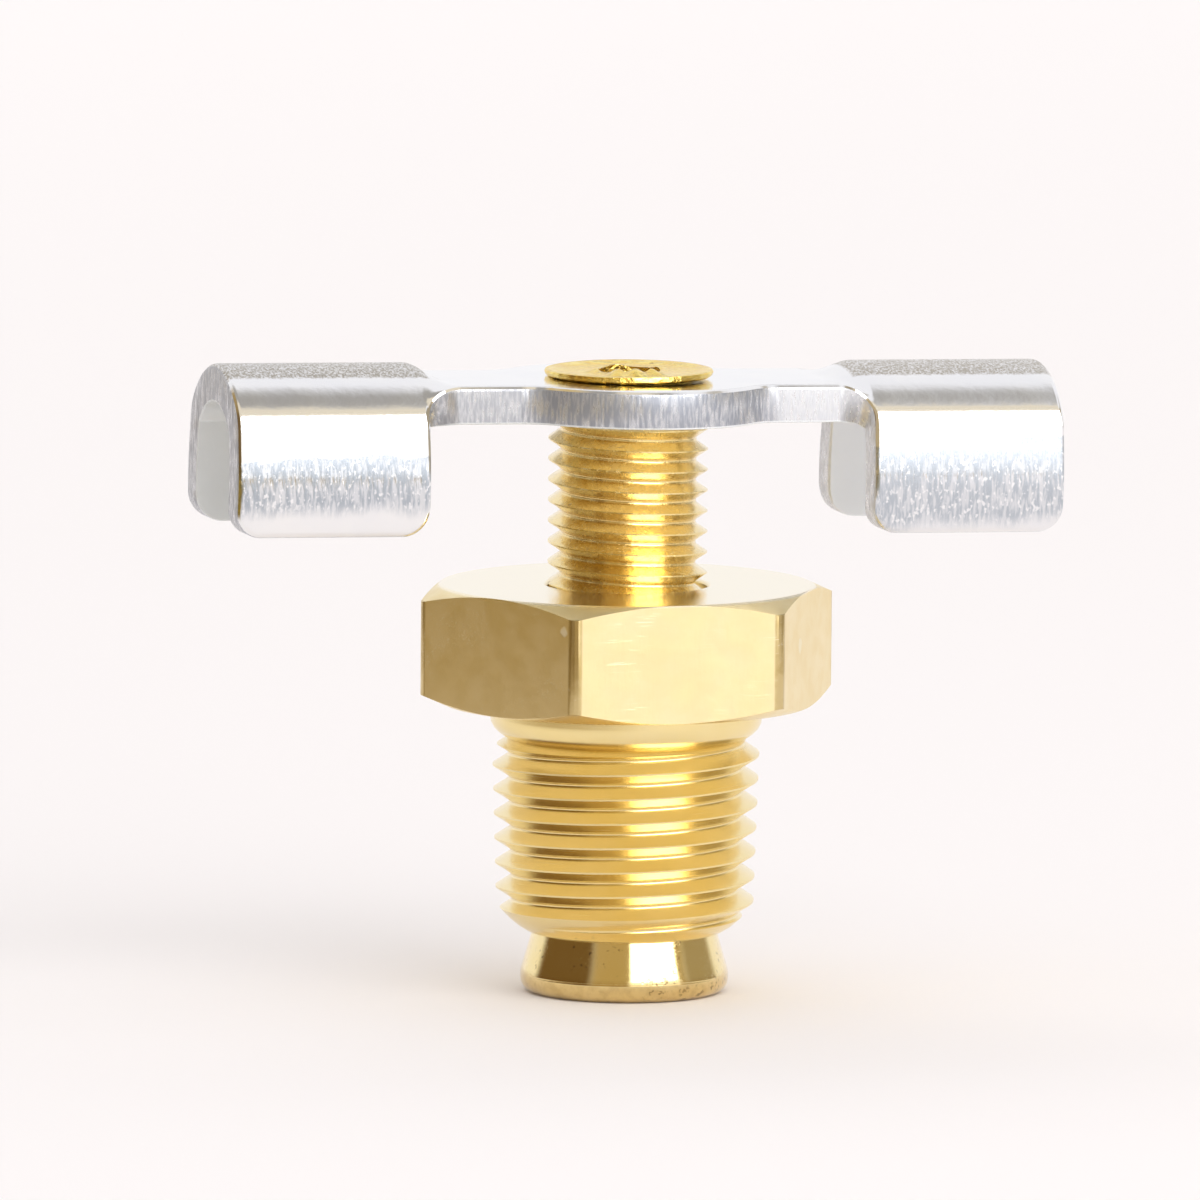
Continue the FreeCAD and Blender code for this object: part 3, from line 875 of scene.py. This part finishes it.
def layers(tree, mix, base, *covers):
    """Lays colours or numbers over a base, each by its share."""
    for share, cover in covers:
        base = mix(tree, share, base, cover)
    return base


print("node helpers ready")

# %% [markdown]
# Shared wear
#
# Three kinds of wear show on these metals: slow drift of tone, fine hairline scratches, and small
# pits. Each is a node group, built once and placed in each material that has it with its own values.
# Scratches are noise that is stretched very long and cut off high, so that only thin lines are
# left. Pits are the middles of Voronoi cells, with a random number for each cell that drops most.

# %% Wear groups
SCRATCH_STRETCH = (700.0, 12000.0, 12000.0)
SCRATCH_WAYS = (((0.3, 0.2, 0.5), 0.0), ((1.1, 0.7, 2.0), 3.0), ((0.5, 1.6, 1.2), 7.0))


def new_group(name, inputs, output):
    """A shader group with a place, some numbers as inputs, and one number as output."""
    group = bpy.data.node_groups.new(name, "ShaderNodeTree")
    group.interface.new_socket("Place", in_out="INPUT", socket_type="NodeSocketVector")
    for label, value in inputs.items():
        socket = group.interface.new_socket(label, in_out="INPUT", socket_type="NodeSocketFloat")
        socket.default_value = value
    group.interface.new_socket(output, in_out="OUTPUT", socket_type="NodeSocketFloat")
    return group, group.nodes.new("NodeGroupInput").outputs, group.nodes.new("NodeGroupOutput").inputs


def make_drift():
    """Slow change of tone over the surface."""
    group, given, result = new_group("tone_drift", {"Scale": 300.0}, "Share")
    coarse = add_node(group, "ShaderNodeTexNoise", {
        "Vector": given["Place"], "Scale": given["Scale"], "Detail": 4.0, "Roughness": 0.6,
    }).outputs["Fac"]
    group.links.new(ramp(group, coarse, 0.35, 0.68), result["Share"])
    return group


def make_scratches():
    """Hairline scratches in three directions."""
    group, given, result = new_group("hairlines", {"Cut": 0.66}, "Mask")
    total = 0.0
    for tilt, offset in SCRATCH_WAYS:
        moved = add_node(group, "ShaderNodeMapping", {
            "Vector": given["Place"], "Rotation": tilt, "Location": (offset, offset, offset),
            "Scale": SCRATCH_STRETCH,
        }).outputs["Vector"]
        over = calculate(group, "SUBTRACT", noise(group, moved, 1.0, 1.0), given["Cut"])
        total = calculate(group, "MAXIMUM", total, ramp(group, over, 0.0, 0.04))
    patches = ramp(group, noise(group, given["Place"], 450.0), 0.45, 0.65)
    group.links.new(times(group, total, patches), result["Mask"])
    return group


def make_pits():
    """Small pits, few and of different sizes."""
    group, given, result = new_group("pits", {"Scale": 2000.0, "Share": 0.2, "Size": 0.3}, "Mask")
    cells = add_node(group, "ShaderNodeTexVoronoi", {"Vector": given["Place"], "Scale": given["Scale"]})
    chance = add_node(group, "ShaderNodeSeparateColor", {"Color": cells.outputs["Color"]}).outputs
    kept = calculate(group, "LESS_THAN", chance[0], given["Share"])
    reach = times(group, given["Size"], chance[1])
    inside = calculate(group, "SUBTRACT", reach, cells.outputs["Distance"])
    group.links.new(times(group, ramp(group, inside, 0.0, 0.08), kept), result["Mask"])
    return group


DRIFT = make_drift()
HAIRLINES = make_scratches()
PITS = make_pits()


def use_group(tree, group, place, **values):
    """Places a wear group in a material with its own values."""
    made = tree.nodes.new("ShaderNodeGroup")
    made.node_tree = group
    tree.links.new(place, made.inputs["Place"])
    for label, value in values.items():
        made.inputs[label].default_value = value
    return made.outputs[0]


print("wear groups:", DRIFT.name, HAIRLINES.name, PITS.name)

# %% [markdown]
# A metal to start from
#
# Each finish starts the same way: a metallic shader, the place on the piece, and the distance from
# the stem's axis, because turned metal carries fine rings about that axis. Noise that reads only
# distance and height gives such rings.

# %% Start of a metal
def start_metal(name):
    """A new metal with its shader, its place, its parts and its distance from the axis."""
    material = bpy.data.materials.new(name)
    material.use_nodes = True
    tree = material.node_tree
    shader = tree.nodes["Principled BSDF"]
    shader.inputs["Metallic"].default_value = 1.0
    place = tree.nodes.new("ShaderNodeTexCoord").outputs["Object"]
    parts = add_node(tree, "ShaderNodeSeparateXYZ", {"Vector": place}).outputs
    flat = add_node(tree, "ShaderNodeVectorMath", {0: place, 1: (1, 1, 0)}, operation="MULTIPLY")
    radius = add_node(tree, "ShaderNodeVectorMath", {0: flat.outputs[0]}, operation="LENGTH")
    return material, tree, shader, place, parts, radius.outputs["Value"]


def ring_marks(tree, radius, height, scale):
    """Fine rings that a lathe tool leaves."""
    rings = add_node(tree, "ShaderNodeCombineXYZ", {"X": radius, "Z": height}).outputs[0]
    return noise(tree, rings, scale, 3.0)


def dress(tree, shader, colour, rough, height, depth):
    """Feeds the shader a colour, a roughness, and a height whose full range is a depth in millimetres."""
    bump = add_node(tree, "ShaderNodeBump", {"Height": height, "Strength": 1.0, "Distance": depth * MM})
    for label, output in (("Base Color", colour), ("Roughness", rough), ("Normal", bump.outputs[0])):
        tree.links.new(output, shader.inputs[label])


print("metal start ready")

# %% [markdown]
# Body brass
#
# The hexagon keeps the satin skin of drawn bar: faintly mottled, with hairlines, with dark scale
# along its corners, and with a few pale nicks from tumbling against other fittings. Its top was faced
# on the lathe and is paler. The threads below it are freshly cut, so they are smoother and yellower,
# with fine rings. Masks by place tell these zones apart. What the lathe cut last still carries a thin
# film of oil, which is a clear coat in the shader.

# %% Body brass
BAR_FROM = (5.3 * MM, 5.5 * MM)
FACE_FROM = (15.62 * MM, 15.7 * MM)
CORNER_FROM = (8.08 * MM, 8.12 * MM)
NICK_BEND = 0.6 * MM
SKIN_TONES = ((0.91, 0.755, 0.415, 1), (0.935, 0.79, 0.465, 1))
MOTTLE_TONE = (0.86, 0.68, 0.33, 1)
FRESH_TONES = ((0.91, 0.735, 0.34, 1), (0.925, 0.76, 0.385, 1))
FACED_TONE = (0.965, 0.865, 0.63, 1)
SCALE_TONE = (0.52, 0.38, 0.15, 1)
WORN_TONE = (0.97, 0.90, 0.70, 1)
BODY_RELIEF = 0.004
BODY_OIL = 0.35
OIL_ROUGHNESS = 0.16


def oil_film(tree, shader, dry, cover):
    """A thin film of cutting oil, which whitens the brightest reflections where brass isn't dry."""
    tree.links.new(mix_value(tree, dry, cover, 0.0), shader.inputs["Coat Weight"])
    shader.inputs["Coat Roughness"].default_value = OIL_ROUGHNESS


def make_body_brass():
    """Satin bar skin on the hexagon, a pale faced top, and fresh brass below."""
    material, tree, shader, place, parts, radius = start_metal("body_brass")
    faced = ramp(tree, parts["Z"], *FACE_FROM)
    bar = times(tree, ramp(tree, radius, *BAR_FROM), ramp(tree, parts["Z"], *reversed(FACE_FROM)))
    drift = use_group(tree, DRIFT, place, Scale=420.0)
    mottle = use_group(tree, DRIFT, place, Scale=1100.0)
    lines = use_group(tree, HAIRLINES, place, Cut=0.68)
    wobble = add_node(tree, "ShaderNodeTexNoise", {"Vector": place, "Scale": 2200.0, "Detail": 3.0})
    bent = add_node(tree, "ShaderNodeVectorMath", {
        0: wobble.outputs["Color"], 1: (NICK_BEND, NICK_BEND, NICK_BEND), 2: place,
    }, operation="MULTIPLY_ADD").outputs[0]
    nicks = use_group(tree, PITS, bent, Scale=700.0, Share=0.14, Size=0.26)
    rings = ring_marks(tree, radius, parts["Z"], 9000.0)
    worn = times(tree, calculate(tree, "MAXIMUM", times(tree, lines, 0.45), nicks), bar)

    corner = times(tree, ramp(tree, radius, *CORNER_FROM), mix_value(tree, mottle, 0.6, 0.9))
    skin = mix_colour(tree, times(tree, mottle, 0.3), mix_colour(tree, drift, *SKIN_TONES), MOTTLE_TONE)
    colour = layers(
        tree, mix_colour, mix_colour(tree, drift, *FRESH_TONES),
        (calculate(tree, "MAXIMUM", bar, faced), skin),
        (faced, FACED_TONE),
        (corner, SCALE_TONE),
        (times(tree, worn, 0.7), WORN_TONE),
    )
    satin = mix_value(tree, mottle, 0.29, 0.36)
    turned = mix_value(tree, rings, 0.20, 0.31)
    rough = mix_value(tree, bar, mix_value(tree, faced, turned, 0.2), satin)
    rough = mix_value(tree, worn, rough, 0.45)
    grain = noise(tree, stretch(tree, place, (6000.0, 6000.0, 900.0)))
    height = mix_value(tree, bar, rings, mix_value(tree, 0.4, grain, mottle))
    height = calculate(tree, "SUBTRACT", height, times(tree, worn, 0.8))
    dress(tree, shader, colour, rough, height, BODY_RELIEF)
    oil_film(tree, shader, bar, BODY_OIL)
    return material


body.data.materials.append(make_body_brass())
print("body finish", body.data.materials[0].name)

# %% [markdown]
# Stem brass
#
# The stem is turned all over. Its plug is polished almost to a mirror so that it seals, apart from
# fine pits and rings, specks of stain and a darker foot that it stands on, which is partly dull, mottled
# brass and partly a painted contact shadow. Its thread is cut with less care: it is rougher, and its root
# is painted darker as shade. Its head is dented where it was hammered over, and dry.

# %% Stem brass
PLUG_BELOW = (3.9 * MM, 3.3 * MM)
FOOT_BELOW = (1.0 * MM, 0.6 * MM)
HEAD_FROM = (23.5 * MM, 23.65 * MM)
ROOT_WITHIN = (2.95 * MM, 2.62 * MM)
STEM_TONES = ((0.905, 0.715, 0.31, 1), (0.92, 0.74, 0.36, 1))
# Painted shade for the root of the stem's thread.
ROOT_SHADE_TONE = (0.80, 0.54, 0.16, 1)
HEAD_TONES = ((0.91, 0.64, 0.15, 1), (0.98, 0.78, 0.24, 1))
# Partly dull, mottled brass and partly a painted contact shadow where the plug stands.
FOOT_DULL_AND_SHADOW_TONE = (0.62, 0.44, 0.18, 1)
PIT_TONE = (0.45, 0.30, 0.12, 1)
STAIN_TONE = (0.26, 0.16, 0.05, 1)
STEM_RELIEF = 0.005
STEM_OIL = 0.55


def make_stem_brass():
    """Polished plug, dull thread and dented head."""
    material, tree, shader, place, parts, radius = start_metal("stem_brass")
    plug = ramp(tree, parts["Z"], *PLUG_BELOW)
    head = ramp(tree, parts["Z"], *HEAD_FROM)
    root = ramp(tree, radius, *ROOT_WITHIN)
    drift = use_group(tree, DRIFT, place, Scale=500.0)
    dents = use_group(tree, DRIFT, place, Scale=2600.0)
    lines = times(tree, use_group(tree, HAIRLINES, place, Cut=0.66), mix_value(tree, plug, 1.0, 0.2))
    pits = use_group(tree, PITS, place, Scale=2600.0, Share=0.035, Size=0.34)
    marks = calculate(tree, "MAXIMUM", lines, pits)
    rings = ring_marks(tree, radius, parts["Z"], 12000.0)

    thread = calculate(tree, "SUBTRACT", 1.0, calculate(tree, "MAXIMUM", plug, head))
    # Darker towards the bottom of the plug: partly dull, mottled brass, partly painted contact shadow.
    foot = times(tree, ramp(tree, parts["Z"], *FOOT_BELOW), mix_value(tree, dents, 0.5, 0.85))
    specks = ramp(tree, noise(tree, place, 5200.0, 3.0), 0.58, 0.66)
    clusters = ramp(tree, noise(tree, place, 800.0), 0.48, 0.60)
    colour = layers(
        tree, mix_colour, mix_colour(tree, drift, *STEM_TONES),
        # Painted shade in the thread's root, darker towards the core.
        (times(tree, root, thread, 0.2), ROOT_SHADE_TONE),
        (head, mix_colour(tree, dents, *HEAD_TONES)),
        (foot, FOOT_DULL_AND_SHADOW_TONE),
        (times(tree, pits, 0.6), PIT_TONE),
        (times(tree, specks, clusters, plug, 0.75), STAIN_TONE),
    )
    polish = mix_value(tree, rings, 0.05, 0.12)
    rough = layers(
        tree, mix_value, mix_value(tree, dents, 0.18, 0.30),
        (plug, polish),
        (head, 0.24),
        (marks, 0.4),
    )
    coarse = times(tree, mix_value(tree, plug, dents, rings), mix_value(tree, head, 1.0, 4.0))
    dress(tree, shader, colour, rough, calculate(tree, "SUBTRACT", coarse, marks), STEM_RELIEF)
    oil_film(tree, shader, head, STEM_OIL)
    return material


stem.data.materials.append(make_stem_brass())
print("stem finish", stem.data.materials[0].name)

# %% [markdown]
# Plated steel
#
# The handle is zinc-plated sheet. Where the press only bent it, the plating is bright and a little
# wavy. The die rubbed it in two places: along the crown of each wing, which is speckled and dull, and
# on the lower half of each flap, which carries upright drag marks with a ragged upper end and a little
# sparkle between them. The cut edges were sheared, so they are dull and streaked across the sheet.
# Two attributes of the blank's faces tell the cut edges and the inner skin apart. The two wings were
# not rubbed alike, and several tones come in pairs, for the left and for the right, the left one darker.
# On the inner skin and the cut edges the darker left tone is painted shade.

# %% Zones and tones of the plating
RIGHT_FROM = (-1.0 * MM, 1.0 * MM)
WING_FROM = (8.35 * MM, 8.5 * MM)
HUB_WITHIN = (6.3 * MM, 5.2 * MM)
CROWN_WITHIN = (1.85 * MM, 1.68 * MM)
CROWN_FROM = (22.6 * MM, 22.9 * MM)
CROWN_WANDER = 0.25 * MM
DRAG_BELOW = (21.3 * MM, 21.2 * MM)
DRAG_FROM = (18.85 * MM, 19.6 * MM)
DRAG_RIGHT_DROP = 1.05 * MM
DRAG_RAGGED = 0.9 * MM
FLAP_FROM = (3.35 * MM, 3.5 * MM)
PLATE_TONES = ((0.86, 0.86, 0.875, 1), (0.90, 0.895, 0.89, 1))
DRAG_TONES = ((0.45, 0.49, 0.54, 1), (0.50, 0.54, 0.59, 1))
SPARKLE_TONE = (0.95, 0.95, 0.96, 1)
CROWN_TONES = ((0.47, 0.44, 0.39, 1), (0.52, 0.485, 0.43, 1))
# The left tone of the sheared edges is painted shade.
EDGE_TONES_SHADED_LEFT = ((0.42, 0.43, 0.46, 1), (0.64, 0.65, 0.68, 1))
HUB_TONE = (0.36, 0.38, 0.43, 1)
# The left tone of the inner skin is painted shade.
INNER_TONES_SHADED_LEFT = ((0.71, 0.735, 0.735, 1), (0.865, 0.895, 0.925, 1))
PLATE_RELIEF = 0.015


def face_mask(tree, attribute):
    """A share that the blank's faces carry as an attribute."""
    return add_node(tree, "ShaderNodeAttribute", attribute_name=attribute).outputs["Fac"]


def wander(tree, pattern, width):
    """A length that strays about zero, within a width, as a pattern does about one half."""
    return times(tree, calculate(tree, "SUBTRACT", pattern, 0.5), width)


print("tones of the plating ready")

# %% [markdown]
# Layers of the plating
#
# The finish is built in layers: bright plating first, then what the die rubbed, then the sheared
# edges and the inner skin. Colour and roughness get the same layers, so that a dull spot is also rough.

# %% Plated steel
def make_plated_steel():
    """Bright plating with rubbed crowns, dragged flaps and sheared edges."""
    material, tree, shader, place, parts, radius = start_metal("plated_steel")
    sheared = face_mask(tree, "cut_edge")
    inside = face_mask(tree, "lower_skin")
    across = calculate(tree, "ABSOLUTE", parts["Y"])
    wing = ramp(tree, calculate(tree, "ABSOLUTE", parts["X"]), *WING_FROM)
    right = ramp(tree, parts["X"], *RIGHT_FROM)
    drift = use_group(tree, DRIFT, place, Scale=350.0)
    fine = noise(tree, place, 5200.0, 3.0)
    streaks = noise(tree, stretch(tree, place, (9000.0, 9000.0, 1500.0)), 1.0, 3.0)
    ragged = noise(tree, stretch(tree, place, (650.0, 650.0, 60.0)), 1.0, 3.0)
    sparkle = ramp(tree, noise(tree, stretch(tree, place, (7000.0, 7000.0, 4500.0))), 0.56, 0.66)
    speckle = noise(tree, stretch(tree, place, (12000.0, 8000.0, 8000.0)), 1.0, 4.0)
    speckle = ramp(tree, speckle, 0.36, 0.62)

    crown = ramp(tree, calculate(tree, "ADD", across, wander(tree, fine, CROWN_WANDER)), *CROWN_WITHIN)
    crown = times(tree, crown, ramp(tree, parts["Z"], *CROWN_FROM), wing)
    level = calculate(tree, "ADD", parts["Z"], wander(tree, ragged, DRAG_RAGGED))
    foot_level = calculate(tree, "ADD", level, times(tree, right, DRAG_RIGHT_DROP))
    drag = times(tree, ramp(tree, level, *DRAG_BELOW), ramp(tree, foot_level, *DRAG_FROM))
    drag = times(tree, drag, wing, ramp(tree, across, *FLAP_FROM))
    drag_lines = ramp(tree, streaks, 0.36, 0.60)

    hub = ramp(tree, radius, *HUB_WITHIN)
    colour = layers(
        tree, mix_colour, mix_colour(tree, drift, *PLATE_TONES),
        (times(tree, drag, mix_value(tree, drag_lines, 0.4, 1.0)), mix_colour(tree, right, *DRAG_TONES)),
        (times(tree, drag, sparkle, 0.8), SPARKLE_TONE),
        (times(tree, crown, mix_value(tree, speckle, 0.25, 1.0)), mix_colour(tree, right, *CROWN_TONES)),
        # Sheared edges, with painted shade on the left wing.
        (
            times(tree, sheared, mix_value(tree, drag_lines, 0.5, 1.0)),
            mix_colour(tree, hub, mix_colour(tree, right, *EDGE_TONES_SHADED_LEFT), HUB_TONE),
        ),
        # Inner skin, with painted shade on the left wing.
        (times(tree, inside, 0.8), mix_colour(tree, right, *INNER_TONES_SHADED_LEFT)),
    )
    rough = layers(
        tree, mix_value, mix_value(tree, fine, 0.09, 0.15),
        (drag, mix_value(tree, drag_lines, 0.10, 0.22)),
        (crown, mix_value(tree, speckle, 0.24, 0.48)),
        (sheared, mix_value(tree, drag_lines, 0.26, 0.45)),
        (inside, 0.5),
    )
    dull = calculate(tree, "MAXIMUM", inside, times(tree, sheared, 0.6))
    tree.links.new(mix_value(tree, dull, 1.0, 0.35), shader.inputs["Metallic"])
    height = layers(
        tree, mix_value, mix_value(tree, 0.15, noise(tree, place, 700.0), fine),
        (times(tree, drag, 0.5), streaks),
        (times(tree, crown, 0.6), speckle),
        (times(tree, sheared, 0.7), streaks),
    )
    dress(tree, shader, colour, rough, height, PLATE_RELIEF)
    return material


handle.data.materials.append(make_plated_steel())
print("handle finish", handle.data.materials[0].name)

# %% [markdown]
# Riding and replacing
#
# Each new piece takes the place of its node in the frame and moves with a body of the frame. The
# stem's thread turns with the handle that is riveted to it, so the stem rides on the handle's body,
# which slides and turns at once.

# %% Put the pieces on their bodies
for piece, node, rider, slot in (
    (body, "valve_body", "valve_body", "body_brass"),
    (stem, "stem", "handle", "stem_brass"),
    (handle, "handle", "handle", "plated_steel"),
):
    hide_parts(node)
    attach(piece, rider)
    print(piece.name, "replaces", node, "and rides on", rider)

# %% [markdown]
# The table
#
# Bright metal shows its surroundings more than its own colour, so the studio matters. The valve
# stands on a white table. To the camera the table is white all over, but in the brass it turns dark
# brown a little way to the left: a painted reflection of shade that darkens the brass's faces turned to
# the left. The shader tells mirror rays from all others, so it can show them that brown and leave the
# picture's own table white.

# %% Table
TABLE_SIZE = 6.0
TABLE_COLOUR = (0.97, 0.935, 0.93, 1)
# Painted shade that only mirror rays see, which darkens the brass's left faces.
TABLE_REFLECTED_SHADE = (0.31, 0.205, 0.035, 1)
TABLE_EDGE = (0.035, 0.07)
TABLE_LEFT = (-0.947, -0.32, 0)

deselect()
bpy.ops.mesh.primitive_plane_add(size=TABLE_SIZE)
table = bpy.context.object
table.name = "table"
table_white = bpy.data.materials.new("table_white")
table_white.use_nodes = True
table_tree = table_white.node_tree
table_shader = table_tree.nodes["Principled BSDF"]
table_place = table_tree.nodes.new("ShaderNodeTexCoord").outputs["Object"]
leftward = add_node(table_tree, "ShaderNodeVectorMath", {
    0: table_place, 1: TABLE_LEFT,
}, operation="DOT_PRODUCT").outputs["Value"]
mirrored = table_tree.nodes.new("ShaderNodeLightPath").outputs["Is Glossy Ray"]
# Painted dark reflection to the left, for mirror rays only.
reflected_shade = times(table_tree, ramp(table_tree, leftward, *TABLE_EDGE), mirrored)
table_tone = mix_colour(table_tree, reflected_shade, TABLE_COLOUR, TABLE_REFLECTED_SHADE)
table_tree.links.new(table_tone, table_shader.inputs["Base Color"])
table_shader.inputs["Roughness"].default_value = 0.9
table_shader.inputs["Specular IOR Level"].default_value = 0.1
table.data.materials.append(table_white)
print("table", TABLE_SIZE, "m")

# %% [markdown]
# Two lamps
#
# A softbox in front, a little to the right, throws the soft shadow to the left, and a wide lamp over
# the far end of the table keeps the background white. Neither shows in the metal: what the metal
# mirrors is painted on the world, where its edges and its brightness can be set freely.

# %% Lamps
VALVE_MIDDLE = Vector((0, 0, 15 * MM))
TABLE_FAR_END = Vector((0, 0.7, 0))


def aim_lamp(name, azimuth, elevation, distance, target, size, power):
    """An area lamp that looks at a target from an azimuth and an elevation in degrees."""
    direction = toward(math.radians(azimuth), math.radians(elevation))
    bpy.ops.object.light_add(type="AREA", location=target + direction * distance)
    lamp = bpy.context.object
    lamp.name = name
    lamp.rotation_euler = direction.to_track_quat("Z", "Y").to_euler()
    lamp.data.shape = "RECTANGLE"
    lamp.data.size, lamp.data.size_y = size
    lamp.data.energy = power
    lamp.visible_camera = False
    lamp.visible_glossy = False
    print(name, "radiance", round(power / math.pi / size[0] / size[1], 2))


aim_lamp(
    "softbox", azimuth=24, elevation=27, distance=0.5,
    target=VALVE_MIDDLE, size=(0.42, 0.5), power=0.9,
)
aim_lamp(
    "backdrop_lamp", azimuth=180, elevation=80, distance=0.7,
    target=TABLE_FAR_END, size=(1.2, 0.6), power=2.1,
)

# %% [markdown]
# The room in the reflections
#
# Cards and walls would stand in the way of other views, so they are painted on the world, and only
# mirror-like rays see them: a white backdrop behind the valve with a grey room above it, a bright
# softbox in front with a white card under it, a warm ceiling, a brown wall to the right, and a dark
# brown one to the left that is lighter higher up. The camera sees plain white, and the table gets even
# light. Each zone of the room is a soft step in azimuth or in height, in degrees.

# %% Zones of the room
BACKDROP = (0.985, 0.98, 1.0, 1)
ZENITH = (0.40, 0.38, 0.35, 1)
LEFT_WALL = (0.17, 0.105, 0.04, 1)
LEFT_HIGH = (0.66, 0.49, 0.22, 1)
WHITE_CARD = (1.4, 1.4, 1.42, 1)
FRONT_ROOM = (0.50, 0.39, 0.22, 1)
RIGHT_WALL = (0.40, 0.34, 0.24, 1)
CEILING = (0.86, 0.77, 0.61, 1)
SOFTBOX = (5.5, 5.5, 5.5, 1)

world = bpy.data.worlds.new("studio")
bpy.context.scene.world = world
world.use_nodes = True
room = world.node_tree
room.nodes.clear()
outward = room.nodes.new("ShaderNodeTexCoord").outputs["Generated"]
east, north, up = add_node(room, "ShaderNodeSeparateXYZ", {"Vector": outward}).outputs
flat_square = calculate(room, "ADD", times(room, east, east), times(room, north, north))
flat_length = calculate(room, "MAXIMUM", calculate(room, "SQRT", flat_square), 0.001)


def zone(azimuth, half_width, edge=7.0):
    """A share that is 1 within a span of azimuths and fades out at its edges."""
    angle = math.radians(azimuth)
    facing = calculate(room, "ADD", times(room, east, math.sin(angle)), times(room, north, -math.cos(angle)))
    cosine = calculate(room, "DIVIDE", facing, flat_length)
    outer = math.cos(math.radians(half_width + edge))
    inner = math.cos(math.radians(half_width - edge))
    return ramp(room, cosine, outer, inner)


def height_step(none_at, full_at):
    """A share that changes from 0 to 1 between two elevations."""
    return ramp(room, up, math.sin(math.radians(none_at)), math.sin(math.radians(full_at)))


front_tone = mix_colour(room, height_step(52, 58), FRONT_ROOM, CEILING)
left_tone = mix_colour(room, height_step(30, 52), LEFT_WALL, LEFT_HIGH)
softbox_heights = times(room, height_step(12, 14), height_step(56, 52))
painted = layers(
    room, mix_colour, BACKDROP,
    (height_step(63, 75), ZENITH),
    (zone(3, 57), front_tone),
    (times(room, zone(83, 23), height_step(58, 48)), RIGHT_WALL),
    (times(room, zone(-92, 38), height_step(76, 66)), left_tone),
    (times(room, zone(20, 30, 4.0), height_step(19, 15)), WHITE_CARD),
    (times(room, zone(20, 28, 2.0), softbox_heights), SOFTBOX),
)
print("room painted with", len(room.nodes), "nodes")

# %% [markdown]
# Who sees what
#
# A light path node tells what kind of ray asks for the world's colour, so the painted room, the even
# light for the table and the white that the camera sees can be three different things.

# %% World
FILL_COLOUR = (1, 0.985, 0.985, 1)
FILL_STRENGTH = 0.815
WHITE = (1, 1, 1, 1)


def backdrop(colour, strength=1.0):
    """Light of one colour from everywhere."""
    return add_node(room, "ShaderNodeBackground", {"Color": colour, "Strength": strength}).outputs[0]


def choose(share, first, second):
    """The first light, or the second where the share is 1."""
    return add_node(room, "ShaderNodeMixShader", {0: share, 1: first, 2: second}).outputs[0]


rays = room.nodes.new("ShaderNodeLightPath").outputs
sharp_rays = calculate(room, "MAXIMUM", rays["Is Glossy Ray"], rays["Is Transmission Ray"])
lit = choose(sharp_rays, backdrop(FILL_COLOUR, FILL_STRENGTH), backdrop(painted))
seen = choose(rays["Is Camera Ray"], lit, backdrop(WHITE))
add_node(room, "ShaderNodeOutputWorld", {"Surface": seen})
bpy.context.scene.view_settings.view_transform = "Standard"
print("world has", len(room.nodes), "nodes")
